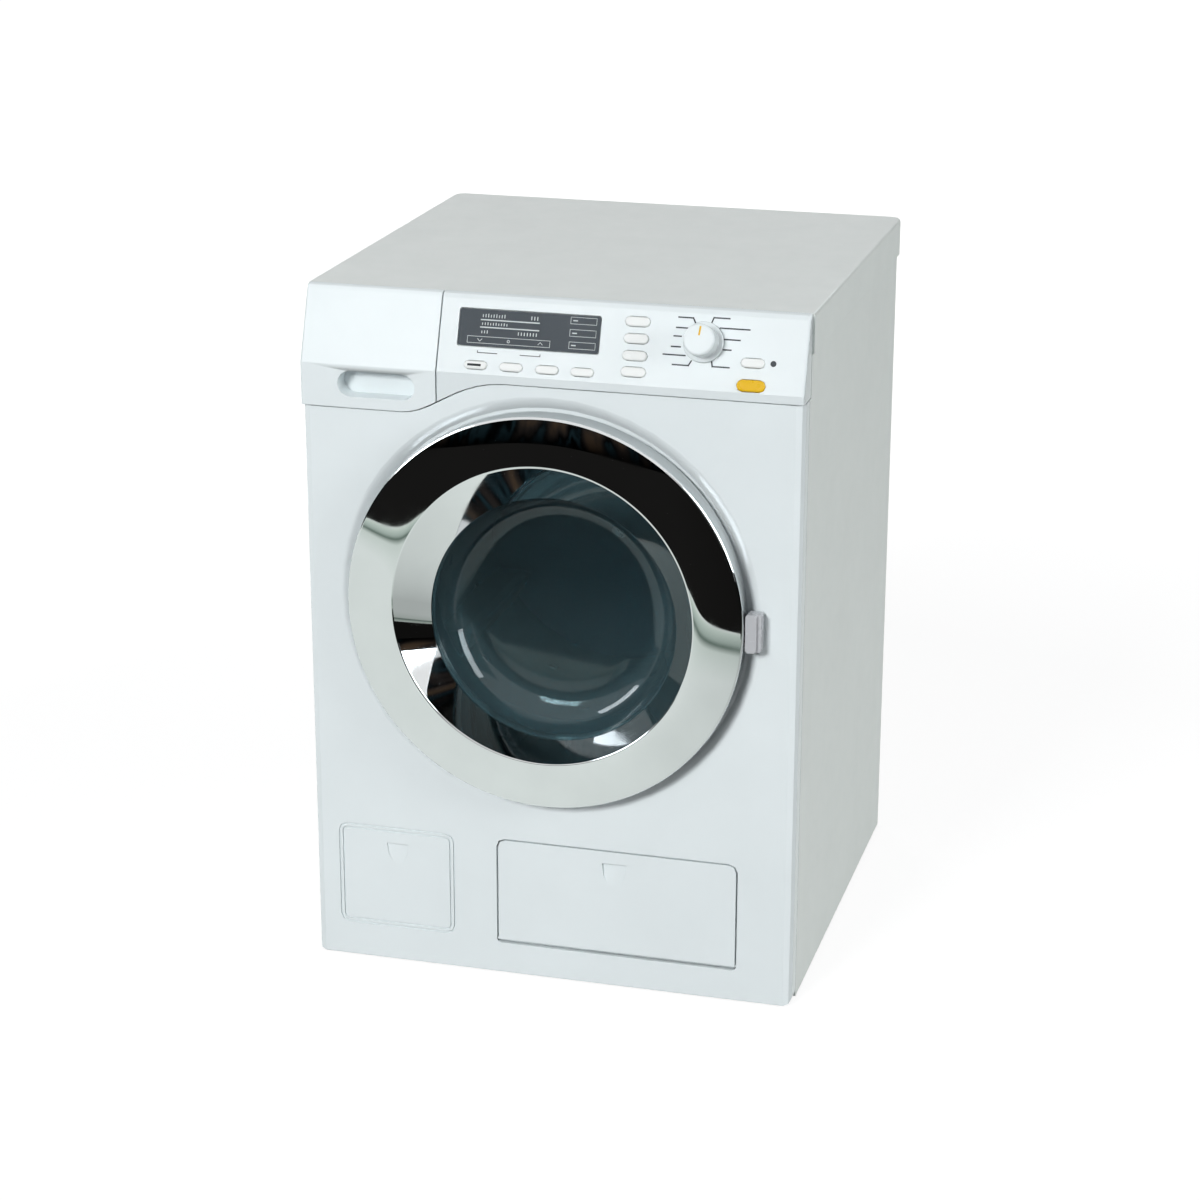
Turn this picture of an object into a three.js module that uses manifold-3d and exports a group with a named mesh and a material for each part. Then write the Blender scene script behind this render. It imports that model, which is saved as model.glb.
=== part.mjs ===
// Toy washing machine: a white cabinet with a bright door ring, a turning drum driven by toothed
// gears, a detergent drawer, a service flap, a program knob and sprung buttons.
// Millimetres, +Z up, +X to the viewer's right, +Y towards the back. Inside the machine group the
// front shell's face is y = 0, the floor is z = 0 and the middle of the width is x = 0.
import * as THREE from "three";
import { mergeVertices } from "three/addons/utils/BufferGeometryUtils.js";
import Module from "manifold-3d";

const wasm = await Module();
wasm.setup();

// Sizes that every sub-assembly uses
const gap = 0.3;
const overrun = 1;
const weld = 0.0005;
const degree = Math.PI / 180;
const roundSides = 30;
const smallSides = 12;
const arcSteps = 2;
const sweepSteps = 10;
const dimpleSteps = 6;
const lidRibs = 2;
const slotCorner = 0.6;
const postSides = 8;
const knobSides = 24;
const gripSteps = 4;
const bowlSteps = 3;
const wireSides = 5;
const stepsPerTurn = 8;
const webSides = 24;
const motorSides = 20;
const speakerSides = 24;
const pinSides = 8;

const cabinet = {
  width: 185,
  depth: 184,
  height: 260.4,
  wall: 2.5,
  frontWall: 2.2,
  seamDepth: 9,
  frontCorner: 3,
  rearCorner: 5,
  lowerCorner: 2.5,
  edgeLift: 0.8,
};
const halfWidth = cabinet.width / 2;
const innerHalf = halfWidth - cabinet.wall;
const backInside = cabinet.depth - cabinet.wall;

// The fascia is the tilted strip along the top that the panel and the drawer front share.
const fascia = {
  height: 29.9,
  band: 3,
  proud: 1,
  tilt: 20.1 * degree,
  topRound: 3,
  endRound: 0.8,
  wall: 2,
  split: 0.5,
};
const creaseHeight = cabinet.height - fascia.height + fascia.band;
const bandHeight = cabinet.height - fascia.height;
const fasciaRise = cabinet.height - creaseHeight;
const topCornerDepth = fasciaRise * Math.tan(fascia.tilt) - fascia.proud;
const topTangent = fascia.topRound * Math.tan((Math.PI / 2 - fascia.tilt) / 2);
const fasciaBack = topCornerDepth + topTangent;

const drawer = {
  edge: -41,
  frontHeight: 42.7,
  sweepLeft: 13.7,
  sweepRight: 25.4,
  handleLeft: 12.2,
  handleRight: 18.9,
  gripCentreX: -63.7,
  gripCentreDrop: 33.8,
  gripLength: 29.3,
  gripHeight: 9.5,
  gripDepth: 6.2,
  gripWall: 1.8,
  trayLength: 84,
  trayHeight: 23,
  trayWall: 1.5,
  trayLift: 3.4,
  housingWall: 1.2,
  ribPlaceShare: 0.62,
  channel: 2.2,
};
const drawerBottom = cabinet.height - drawer.frontHeight;
const trayFront = drawer.gripDepth + drawer.gripWall + gap;
const trayBox = {
  x0: 2 * gap + drawer.housingWall - innerHalf,
  x1: drawer.edge - drawer.channel - 2 * gap,
  y0: trayFront,
  y1: trayFront + drawer.trayLength,
  z0: drawerBottom + drawer.trayLift,
  z1: drawerBottom + drawer.trayLift + drawer.trayHeight,
};

const lid = {
  skirt: 14.4,
  overhang: 0.7,
  wall: 1.8,
  top: 2.2,
  corner: 4,
  edgeRound: 1.2,
  ribDrop: 4,
  ribWall: 1.2,
};
const lidBottom = cabinet.height - lid.skirt;

const base = {
  thickness: 2.2,
  footRadius: 7.5,
  footInset: 16,
  footHeight: 1,
  rimHeight: 6,
  rimWall: 1.6,
};

const flap = {
  left: -20.3,
  right: 71.5,
  bottom: 13,
  top: 55,
  seam: 0.6,
  corner: 3,
  hingeCorner: 1.3,
  thickness: 2,
  pinRadius: 0.6,
  pinLength: 1.5,
  dimpleX: 24.9,
  dimpleTopDrop: 5,
  dimpleHeight: 9.8,
  dimpleHalfWidth: 4.6,
  dimpleDepth: 1.2,
  nicheDepth: 20,
  nicheWall: 1.6,
  nicheFlange: 3,
};
const flapPinDepth = flap.thickness / 2;
const flapPinHeight = flap.bottom + flap.seam / 2 + flap.thickness / 2;
const mockFlap = {
  left: -83,
  right: -37,
  bottom: 14,
  top: 55,
  corner: 3.4,
  groove: 0.6,
  grooveDepth: 0.45,
  pitch: 1.5,
  rings: 2,
  dimpleX: -59.6,
  dimpleTopDrop: 6.6,
  dimpleHeight: 8.2,
  dimpleHalfWidth: 4.2,
  dimpleDepth: 0.6,
};

// The door: chrome ring, frame behind it, glass bowl, and the dish that it lies in
const door = {
  topRoom: 4.7,
  lowRoom: 13.8,
  sideRoom: 14,
  bandWidth: 17.9,
  funnelWidth: 9.8,
  ringFront: 8,
  ringBack: 0.6,
  ringWall: 1.5,
  crestFront: 10,
  rimDepth: 5.5,
  rimDrop: 6,
  bandRound: 0.8,
  ringSides: 48,
};
const dish = {
  slope: 3.7,
  ringGap: 0.8,
  depth: 2.5,
  floor: 2.2,
  softEdge: 1.6,
  backWidth: 3,
  shelf: 14,
  collarWall: 2,
  collarLength: 3.4,
};
// The dish fills the face between the flap and the fascia, and the radii of the door follow it
const dishTop = bandHeight - door.topRoom;
const dishLow = flap.top + door.lowRoom;
const doorHeight = (dishTop + dishLow) / 2;
const dishRadius = Math.min((dishTop - dishLow) / 2, halfWidth - door.sideRoom);
const dishFloorRadius = dishRadius - dish.slope;
const ringRadius = dishFloorRadius - dish.ringGap;
const crestRadius = ringRadius - door.bandWidth;
const rimRadius = crestRadius - door.funnelWidth;
const openingRadius = ringRadius - dish.shelf;
const dishBack = dish.depth + dish.floor;
const collarBack = dishBack + dish.collarLength;

const frame = { thickness: 2, flangeInset: 2, wall: 1.3 };
const flangeRadius = ringRadius - frame.flangeInset;

const bowl = {
  wall: 1.6,
  sideWidth: 13.8,
  flatDepth: 22,
  flatRise: 2.7,
  rimWidth: 1,
  bulge: 9.5,
};
const bowlFlatRadius = rimRadius - bowl.sideWidth;
const bowlFront = door.rimDepth + bowl.wall - gap;
const bowlBack = bowlFront + bowl.wall;

const grip = { height: 14.3, length: 5.6, depth: 5.2, step: 1.2, stepWidth: 1.5, setback: 1.6, round: 0.8 };

const hinge = {
  inset: 3.8,
  depth: -3.7,
  pinRadius: 0.8,
  lugHeight: 3.2,
  knuckleHeight: 15,
  eyeRadius: 1.7,
  armWidth: 5,
  plateOut: 7.5,
  plateIn: 5,
  plateHeight: 32,
  plate: 2,
  slotSlack: 0.8,
  notchFront: -6.7,
};
const hingeX = hinge.inset - ringRadius;

const latch = {
  hookX: 64,
  hookWidth: 3,
  hookHeight: 6,
  hookReach: 14.2,
  barbLength: 3,
  barbDrop: 2.2,
  swing: 2.2,
  slotSlack: 1,
  barX: 73.4,
  barWidth: 5,
  barDepth: 2.2,
  barFront: 7.4,
  noseWidth: 6,
  noseClear: 0.35,
  tabHeight: 2.5,
  noseHeight: 5,
  wedgeDepth: 5.6,
  guideWall: 1.5,
  guideHeight: 5,
  guideDrop: 18,
  guideSpread: 22,
  springRadius: 2.6,
  springWire: 0.35,
  springLength: 11,
  springTurns: 5,
  seatThickness: 2,
  pinRadius: 1.4,
  pinLength: 2.5,
};
const latchGuideHeights = [
  bandHeight - latch.guideDrop,
  bandHeight - latch.guideDrop - latch.guideSpread,
];
const latchSeatTop = latchGuideHeights[1] + latch.guideHeight / 2;
const springX = latch.barX + latch.barWidth / 2 + latch.guideWall + latch.springRadius;
const springY = latch.barFront + latch.barDepth / 2;

// The drum and what it turns in
const gasket = { lip: 0.6, wall: 1.3 };
const tub = { grow: 2, wall: 1.6, lip: 3, front: 14.6, backRoom: 2.5, hubRadius: 10, hubLength: 4 };
const tubRadius = openingRadius + tub.grow;
const tubMouthRadius = openingRadius - tub.lip;
const drum = {
  room: 2.8,
  wall: 1.4,
  lip: 7.1,
  front: 20,
  hubRadius: 7.5,
  hubLength: 4,
  holeRadius: 2.4,
  holeRows: 2,
  holesRound: 8,
  holeSides: 6,
  lifterHeight: 12,
  lifterFoot: 15,
  lifterCrest: 5,
  lifterInset: 5,
  lifters: 3,
};
const drumRadius = tubRadius - tub.wall - drum.room;
const drumMouthRadius = drumRadius - drum.lip;
const shaft = { radius: 3, bush: 2.6, nose: 2, tail: 2.5, collar: 1.2 };
const bushRadius = shaft.radius + gap + shaft.bush;
const gears = {
  module: 1.6,
  drumTeeth: 32,
  idlerTeeth: 18,
  pinionTeeth: 12,
  width: 6,
  pressureAngle: 20 * degree,
  addendumShare: 0.88,
  dedendumShare: 1.3,
  rootShare: 1.1,
  rimTeeth: 5,
  backlash: 0.3,
  extraCentre: 0.12,
  idlerAngle: -60 * degree,
  pinionAngle: -90 * degree,
  hubRadius: 5.5,
  hubLength: 2,
  idlerPinRadius: 2,
  pinHead: 0.8,
  webDepth: 1.6,
};
// Where the idler and the motor's pinion lie, and how they are turned to mesh
const idlerDistance = (gears.module * (gears.drumTeeth + gears.idlerTeeth)) / 2 + gears.extraCentre;
const idlerPlace = {
  x: idlerDistance * Math.cos(gears.idlerAngle),
  z: idlerDistance * Math.sin(gears.idlerAngle),
};
const pinionDistance = (gears.module * (gears.idlerTeeth + gears.pinionTeeth)) / 2 + gears.extraCentre;
const pinionPlace = {
  x: idlerPlace.x + pinionDistance * Math.cos(gears.pinionAngle),
  z: idlerPlace.z + pinionDistance * Math.sin(gears.pinionAngle),
};
const idlerTurn = meshedTurn(gears.idlerTeeth, gears.idlerAngle, gears.drumTeeth, 0);
const pinionTurn = meshedTurn(gears.pinionTeeth, gears.pinionAngle, gears.idlerTeeth, idlerTurn);
const gearPlate = {
  thickness: 2.4,
  margin: 8,
  postRadius: 3.2,
  postInset: 10,
  postAngles: [45 * degree, 135 * degree, 225 * degree, -15 * degree],
};
const postCircle = tubRadius - gearPlate.postInset;
const motor = {
  radius: 12.2,
  length: 26,
  neckRadius: 4,
  neckLength: 1.6,
  flat: 9.6,
  shaftRadius: 1.5,
  shaftLength: 4,
  backRoom: 21.8,
};

// The drive is stacked forward from the back wall, and the drum fills what is left
const motorFront = backInside - motor.backRoom - motor.length;
const gearPlateBack = motorFront - gap;
const gearPlateFront = gearPlateBack - gearPlate.thickness;
const gearFront = gearPlateFront - gears.width - gears.hubLength - gap;
const tubHubBack = gearFront - 2 * gap;
const tubBack = tubHubBack - tub.hubLength;
const drumHubBack = tubBack - tub.wall - tub.backRoom;
const drumBack = drumHubBack - drum.hubLength;
const drumLength = drumBack - drum.front;


const battery = {
  radius: 13.1,
  length: 48.5,
  nubRadius: 4.5,
  nubLength: 1.5,
  between: 0.6,
  wall: 1.6,
  lift: 16,
  lidLap: 5,
  lidCorner: 3,
  tongueWidth: 12,
  tongueLength: 3,
  tongueReach: 32,
  contact: 0.5,
  contactBump: 3,
  screwRadius: 1.6,
  screwHead: 3,
  screwLength: 8,
  bossRadius: 4,
  headSink: 1.6,
};
const batteryInner = {
  x: battery.length + battery.nubLength + battery.between / 2 + battery.contact + 2 * gap,
  y: 2 * battery.radius + 2 * gap,
  z: 4 * battery.radius + battery.between + 2 * gap,
};
const batteryBox = {
  x: batteryInner.x + battery.wall,
  y0: backInside - gap - batteryInner.y - battery.wall,
  y1: backInside - gap,
  z0: battery.lift,
  z1: battery.lift + batteryInner.z + 2 * battery.wall,
};
const screwTab = battery.screwHead + battery.wall;
const screwHeight = batteryBox.z1 + screwTab;

const speaker = { radius: 20, magnetRadius: 12, depth: 13, rim: 2, drop: 46.4, slot: 2, slots: 7, pitch: 4.6 };
const speakerHeight = cabinet.height - speaker.drop;

// What lies on the fascia: places are millimetres across from the middle and up along the slope
const panel = {
  buttonProud: 0.7,
  buttonRound: 0.3,
  buttonFlange: 1,
  flangeThickness: 0.8,
  travel: 1,
  rowY: 3.2,
  rowXs: [-26.4, -13.3, -0.1, 12.8],
  rowWidth: 8.2,
  rowHeight: 2.7,
  columnX: 31.2,
  columnYs: [22.3, 16.3, 10.3, 4.6],
  columnWidth: 8.8,
  columnHeight: 3.2,
  extraX: 73.4,
  extraY: 10.5,
  extraWidth: 8.2,
  extraHeight: 3,
  doorX: 73.4,
  doorY: 2.6,
  doorWidth: 9.9,
  doorHeight: 3.9,
  doorTravel: 1.5,
  doorStemWidth: 3.6,
  doorStemHeight: 2.4,
  doorStemLength: 11,
  windowLeft: -33.8,
  windowRight: 17.8,
  windowLow: 10,
  windowHigh: 23.1,
  windowCorner: 0.8,
  windowThickness: 1.2,
  windowSink: 0.1,
  windowLap: 1,
  cardThickness: 0.6,
  matFront: 4.5,
  matThickness: 1,
  matMargin: 0.6,
  bridgeLow: 8.7,
  bridgeHigh: 12.3,
  boardThickness: 1.6,
  boardLeft: -37.5,
  boardRight: 88,
  boardLow: -1,
  boardHigh: 24.5,
  postRadius: 1.7,
  postPlaces: [[-36, 7], [22.5, 7.5], [44, 4], [85.5, 4], [85.5, 21]],
};
const matBack = panel.matFront + panel.matThickness;
const boardFront = matBack + gap;
const boardBack = boardFront + panel.boardThickness;
// Where the yellow key's stem meets the latch bar, and how far below it the bar's wedge lies
const wedgePoint = {
  y: panel.doorY * Math.sin(fascia.tilt) + panel.doorStemLength * Math.cos(fascia.tilt) - fascia.proud,
  z: creaseHeight + panel.doorY * Math.cos(fascia.tilt) - panel.doorStemLength * Math.sin(fascia.tilt),
};
const wedgeDrop = gap * Math.SQRT2;

const knob = {
  x: 55.4,
  y: 16.6,
  skirtRadius: 7.2,
  skirtHeight: 1.6,
  capRadius: 5.6,
  height: 9,
  topRound: 0.8,
  stemRadius: 2.1,
  stemLength: 14,
  holeSlack: 0.4,
  switchRadius: 6,
  switchDepth: 9,
};

// Finishes, from the photograph
const whiteGloss = { color: 0xe3e9eb, roughness: 0.3, metalness: 0 };
const whiteInner = { color: 0xd5dadc, roughness: 0.5, metalness: 0 };
const dishGrey = { color: 0xc9cfd2, roughness: 0.4, metalness: 0 };
const chromePlate = { color: 0xd9dcdd, roughness: 0.06, metalness: 1 };
const smokyClear = { color: 0x6f7c80, roughness: 0.08, metalness: 0, transparent: true, opacity: 0.55 };
const slateWindow = { color: 0x3d474b, roughness: 0.15, metalness: 0 };
const yellowButton = { color: 0xf2b431, roughness: 0.35, metalness: 0 };
const greyRubber = { color: 0x9aa0a2, roughness: 0.8, metalness: 0 };
const greyPlastic = { color: 0xb9bec0, roughness: 0.5, metalness: 0 };
const darkPlastic = { color: 0x33373a, roughness: 0.6, metalness: 0 };
const gearPlastic = { color: 0xe9e6dc, roughness: 0.45, metalness: 0 };
const bareSteel = { color: 0xa9adb0, roughness: 0.3, metalness: 1 };
const boardGreen = { color: 0x2f6b46, roughness: 0.55, metalness: 0 };
const cellSleeve = { color: 0x4a6e8c, roughness: 0.4, metalness: 0.2 };

// Solids: three.js geometry turned into a closed manifold-3d solid and back again

// Returns a three.js geometry as a manifold solid that faces outwards.
function toSolid(geometry) {
  const bare = geometry.clone();
  for (const name of Object.keys(bare.attributes)) {
    if (name !== "position") bare.deleteAttribute(name);
  }
  const merged = mergeVertices(bare, weld);
  const corners = merged.index.array;
  const kept = [];
  for (let i = 0; i < corners.length; i += 3) {
    const [a, b, c] = corners.subarray(i, i + 3);
    if (a !== b && b !== c && c !== a) kept.push(a, b, c);
  }
  const make = (list) =>
    new wasm.Manifold(
      new wasm.Mesh({
        numProp: 3,
        vertProperties: merged.attributes.position.array,
        triVerts: new Uint32Array(list),
      }),
    );
  const solid = make(kept);
  return solid.volume() > 0 ? solid : make(kept.reverse());
}

// Returns a manifold solid as a flat-shaded three.js geometry.
function toGeometry(solid) {
  const mesh = solid.getMesh();
  const shared = new THREE.BufferGeometry();
  shared.setAttribute("position", new THREE.BufferAttribute(mesh.vertProperties, mesh.numProp));
  shared.setIndex(new THREE.BufferAttribute(mesh.triVerts, 1));
  const geometry = shared.toNonIndexed();
  geometry.computeVertexNormals();
  return geometry;
}

// Adds a named mesh of the solid to the group.
function addPiece(group, name, solid, finish) {
  const mesh = new THREE.Mesh(toGeometry(solid), new THREE.MeshStandardMaterial(finish));
  mesh.name = name;
  group.add(mesh);
  return mesh;
}

const cut = (body, ...tools) => tools.reduce((rest, tool) => rest.subtract(tool), body);
const join = (body, ...others) => others.reduce((whole, other) => whole.add(other), body);
const common = (body, other) => body.intersect(other);

// A box between two corners.
function block(x0, x1, y0, y1, z0, z1) {
  const geometry = new THREE.BoxGeometry(x1 - x0, y1 - y0, z1 - z0);
  return toSolid(geometry.translate((x0 + x1) / 2, (y0 + y1) / 2, (z0 + z1) / 2));
}

// Extrudes an outline between two places; a bevel rounds both of its ends.
function extrusion(shape, from, to, round) {
  const depth = to - from - 2 * round;
  const geometry = new THREE.ExtrudeGeometry(shape, {
    depth,
    bevelEnabled: round > 0,
    bevelThickness: round,
    bevelSize: round,
    bevelOffset: -round,
    bevelSegments: arcSteps,
  });
  return geometry.translate(0, 0, from + round);
}

// Extrudes an outline drawn in x and z from depth y0 to y1.
function extrudeBack(shape, y0, y1, round = 0) {
  const geometry = extrusion(shape, -y1, -y0, round);
  return toSolid(geometry.rotateX(Math.PI / 2));
}

// Extrudes an outline drawn in x and y from height z0 to z1.
function extrudeUp(shape, z0, z1, round = 0) {
  return toSolid(extrusion(shape, z0, z1, round));
}

// Extrudes an outline drawn in y and z from x0 to x1.
function extrudeAcross(shape, x0, x1, round = 0) {
  const geometry = extrusion(shape, x0, x1, round);
  const turn = new THREE.Matrix4().makeBasis(
    new THREE.Vector3(0, 1, 0),
    new THREE.Vector3(0, 0, 1),
    new THREE.Vector3(1, 0, 0),
  );
  return toSolid(geometry.applyMatrix4(turn));
}

// A rounded rectangle between two corners.
function roundedRect(x0, x1, y0, y1, radius, steps = arcSteps) {
  const quarter = Math.PI / 2;
  return outline([
    ...arc(x1 - radius, y0 + radius, radius, -quarter, 0, steps),
    ...arc(x1 - radius, y1 - radius, radius, 0, quarter, steps),
    ...arc(x0 + radius, y1 - radius, radius, quarter, 2 * quarter, steps),
    ...arc(x0 + radius, y0 + radius, radius, 2 * quarter, 3 * quarter, steps),
  ]);
}

// An outline through the given corners; a corner that repeats the one before it is dropped.
function outline(points) {
  const apart = ([x, y], i) => {
    const [px, py] = points[(i + points.length - 1) % points.length];
    return Math.hypot(x - px, y - py) > weld;
  };
  return new THREE.Shape(points.filter(apart).map(([x, y]) => new THREE.Vector2(x, y)));
}

// Turns a profile of [radius, place] points about the Y, Z or X axis and moves it to x, y, z.
function turned(points, sides) {
  return new THREE.LatheGeometry(points.map(([r, place]) => new THREE.Vector2(r, place)), sides);
}
function turnAboutY(points, x, z, sides = roundSides) {
  return toSolid(turned(points, sides).translate(x, 0, z));
}
function turnAboutZ(points, x, y, sides = smallSides) {
  return toSolid(turned(points, sides).rotateX(Math.PI / 2).translate(x, y, 0));
}
function turnAboutX(points, y, z, sides = roundSides) {
  return toSolid(turned(points, sides).rotateZ(-Math.PI / 2).translate(0, y, z));
}
const rod = (radius, from, to) => [[0, from], [radius, from], [radius, to], [0, to]];
const sleeve = (inner, outer, from, to) =>
  [[inner, from], [outer, from], [outer, to], [inner, to], [inner, from]];

// Points of an arc between two angles.
function arc(x, y, radius, from, to, steps = arcSteps) {
  const turn = (i) => from + ((to - from) * i) / steps;
  return Array.from({ length: steps + 1 }, (_, i) => [
    x + radius * Math.cos(turn(i)),
    y + radius * Math.sin(turn(i)),
  ]);
}

// The S-shaped edge between the front shell and the fascia, from left to right, moved up by lift.
function sweepEdge(lift) {
  const low = drawerBottom + lift;
  const high = bandHeight + lift;
  const start = drawer.edge - drawer.sweepLeft;
  const end = drawer.edge + drawer.sweepRight;
  const curve = new THREE.CubicBezierCurve(
    new THREE.Vector2(start, low),
    new THREE.Vector2(start + drawer.handleLeft, low),
    new THREE.Vector2(end - drawer.handleRight, high),
    new THREE.Vector2(end, high),
  );
  const points = curve.getPoints(sweepSteps).map((point) => [point.x, point.y]);
  return [[-halfWidth - overrun, low], ...points, [halfWidth + overrun, high]];
}

// Everything above the S-shaped edge, down to depth y1.
function aboveSweep(lift, y0, y1) {
  const top = cabinet.height + overrun;
  const points = [...sweepEdge(lift), [halfWidth + overrun, top], [-halfWidth - overrun, top]];
  return extrudeBack(outline(points), y0, y1);
}

// The fascia's side section, drawn a given distance inside its face.
function fasciaSection(inset, back, floor) {
  const face = inset - fascia.proud;
  const top = cabinet.height - inset;
  const crease = creaseHeight - inset * Math.tan(fascia.tilt / 2);
  const corner = face + (top - crease) * Math.tan(fascia.tilt);
  const round = Math.max(fascia.topRound - inset, gap);
  const tangent = round * Math.tan((Math.PI / 2 - fascia.tilt) / 2);
  const centreX = corner + tangent;
  const centreY = top - round;
  return outline([
    [back, floor],
    [back, top],
    ...arc(centreX, centreY, round, Math.PI / 2, Math.PI - fascia.tilt, 2),
    [face, crease],
    [face, floor],
  ]);
}

// A group whose x runs across, y up along the fascia's slope and z straight out of it.
function fasciaFrame() {
  const group = new THREE.Group();
  group.position.set(0, -fascia.proud, creaseHeight);
  group.rotation.x = Math.PI / 2 - fascia.tilt;
  group.updateMatrix();
  return group;
}
const fasciaMatrix = fasciaFrame().matrix;
const ontoFascia = (solid) => solid.transform(fasciaMatrix.elements);

// A pill outline round a centre.
const pill = (x, y, width, height, grow = 0, steps = arcSteps) =>
  roundedRect(
    x - width / 2 - grow,
    x + width / 2 + grow,
    y - height / 2 - grow,
    y + height / 2 + grow,
    height / 2 + grow,
    steps,
  );

// The cabinet's outline seen from above, with rounded front or rear corners.
function planOutline(half, y0, y1, frontRound, rearRound) {
  const quarter = Math.PI / 2;
  const front = (x, from) => arc(x, y0 + frontRound, frontRound, from, from + quarter);
  const rear = (x, from) => arc(x, y1 - rearRound, rearRound, from, from + quarter);
  return outline([
    ...(frontRound ? front(half - frontRound, -quarter) : [[half, y0]]),
    ...(rearRound ? rear(half - rearRound, 0) : [[half, y1]]),
    ...(rearRound ? rear(rearRound - half, quarter) : [[-half, y1]]),
    ...(frontRound ? front(frontRound - half, 2 * quarter) : [[-half, y0]]),
  ]);
}

// A shallow scoop for a finger, deepest along its straight top edge.
function dimple(x, top, halfWidth, height, depth) {
  const sides = arc(x, top, 1, Math.PI, 2 * Math.PI, dimpleSteps);
  const scoop = sides.map(([px, pz]) => [x + (px - x) * halfWidth, top + (pz - top) * height]);
  const wedge = outline([[-overrun, top - height], [0, top - height], [depth, top], [-overrun, top]]);
  return common(
    extrudeBack(outline(scoop), -overrun, depth),
    extrudeAcross(wedge, x - halfWidth - overrun, x + halfWidth + overrun),
  );
}

// The dish for the door: a shallow cone round a flat floor, with a soft outer edge.
function dishCutter() {
  const soft = dish.softEdge;
  const softDepth = (soft * dish.depth) / (dishRadius - dishFloorRadius + soft) / 2;
  return turnAboutY(
    [
      [0, -overrun],
      [dishRadius + soft / 2, -overrun],
      [dishRadius + soft / 2, 0],
      [dishRadius - soft / 2, softDepth],
      [dishFloorRadius, dish.depth],
      [openingRadius, dish.depth],
      [openingRadius, collarBack + overrun],
      [0, collarBack + overrun],
    ],
    0,
    doorHeight,
    door.ringSides,
  );
}

// Grooves that draw the outline of a second, false flap.
function mockGrooves() {
  return Array.from({ length: mockFlap.rings }, (_, i) => {
    const inset = i * mockFlap.pitch;
    const ring = (grow, y0, y1) =>
      extrudeBack(
        roundedRect(
          mockFlap.left + grow,
          mockFlap.right - grow,
          mockFlap.bottom + grow,
          mockFlap.top - grow,
          mockFlap.corner - grow,
        ),
        y0,
        y1,
      );
    return ring(inset, -overrun, mockFlap.grooveDepth).subtract(
      ring(inset + mockFlap.groove, -2 * overrun, mockFlap.grooveDepth + overrun),
    );
  });
}

// Guides and the spring's seat for the latch bar, moulded on the back of the front wall.
function latchGuides() {
  const reach = latch.barWidth / 2 + gap;
  const outer = reach + latch.guideWall;
  const back = latch.barFront + latch.barDepth + gap;
  const guides = latchGuideHeights.map((z) =>
    cut(
      block(
        latch.barX - outer,
        latch.barX + outer,
        cabinet.frontWall / 2,
        back + latch.guideWall,
        z - latch.guideHeight / 2,
        z + latch.guideHeight / 2,
      ),
      block(latch.barX - reach, latch.barX + reach, latch.barFront - gap, back, z - latch.guideHeight,
        z + latch.guideHeight),
      block(latch.barX - reach + latch.guideWall, latch.barX + reach - latch.guideWall, back - gap,
        back + latch.guideWall + overrun, z - latch.guideHeight, z + latch.guideHeight),
    ),
  );
  const seat = block(
    latch.barX + reach + latch.guideWall / 2,
    springX + latch.springRadius,
    cabinet.frontWall / 2,
    springY + latch.springRadius,
    latchSeatTop - latch.seatThickness,
    latchSeatTop,
  );
  return [...guides, seat];
}

function makeFrontShell() {
  const edge = sweepEdge(-fascia.split);
  const low = cabinet.edgeLift;
  const corner = cabinet.lowerCorner;
  const quarter = Math.PI / 2;
  const face = outline([
    ...arc(corner - halfWidth, low + corner, corner, 2 * quarter, 3 * quarter),
    ...arc(halfWidth - corner, low + corner, corner, -quarter, 0),
    ...edge.map(([x, z]) => [Math.min(Math.max(x, -halfWidth), halfWidth), z]).reverse(),
  ]);
  const plan = planOutline(halfWidth, 0, 2 * cabinet.seamDepth, cabinet.frontCorner, 0);
  const inside = roundedRect(
    -innerHalf,
    innerHalf,
    low + cabinet.wall,
    cabinet.height,
    corner - cabinet.wall / 2,
  );
  let shell = common(
    extrudeBack(face, 0, cabinet.seamDepth),
    extrudeUp(plan, -overrun, cabinet.height),
  );
  shell = cut(shell, extrudeBack(inside, cabinet.frontWall, cabinet.seamDepth + overrun));
  shell = join(
    shell,
    turnAboutY(
      rod(dishRadius + dish.backWidth, cabinet.frontWall / 2, dishBack),
      0,
      doorHeight,
      door.ringSides,
    ),
    turnAboutY(
      rod(openingRadius + dish.collarWall, cabinet.frontWall, collarBack),
      0,
      doorHeight,
      door.ringSides,
    ),
    ...latchGuides(),
  );
  const opening = flapOutline(-flap.seam / 2);
  const notches = [flap.left, flap.right].map((x) =>
    block(
      x - flap.seam / 2 - flap.pinLength - gap,
      x + flap.seam / 2 + flap.pinLength + gap,
      flapPinDepth - flap.pinRadius - gap,
      cabinet.frontWall + overrun,
      flapPinHeight - flap.pinRadius - gap,
      flapPinHeight + flap.pinRadius + gap,
    ),
  );
  return cut(
    shell,
    dishCutter(),
    extrudeBack(opening, -overrun, cabinet.frontWall + overrun),
    ...notches,
    ...mockGrooves(),
    dimple(
      mockFlap.dimpleX,
      mockFlap.top - mockFlap.dimpleTopDrop,
      mockFlap.dimpleHalfWidth,
      mockFlap.dimpleHeight,
      mockFlap.dimpleDepth,
    ),
    ...hingeSlots(),
    latchSlot(),
  );
}

// Slots in the dish floor that the hinge lugs come through.
function hingeSlots() {
  const reach = hinge.eyeRadius + hinge.slotSlack / 2;
  return [-1, 1].map((side) => {
    const middle = doorHeight + (side * (hinge.knuckleHeight + hinge.lugHeight + 2 * gap)) / 2;
    const halfHeight = hinge.lugHeight / 2 + hinge.slotSlack / 2;
    return block(hingeX - reach, hingeX + reach, 0, dishBack + overrun, middle - halfHeight,
      middle + halfHeight);
  });
}

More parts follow.
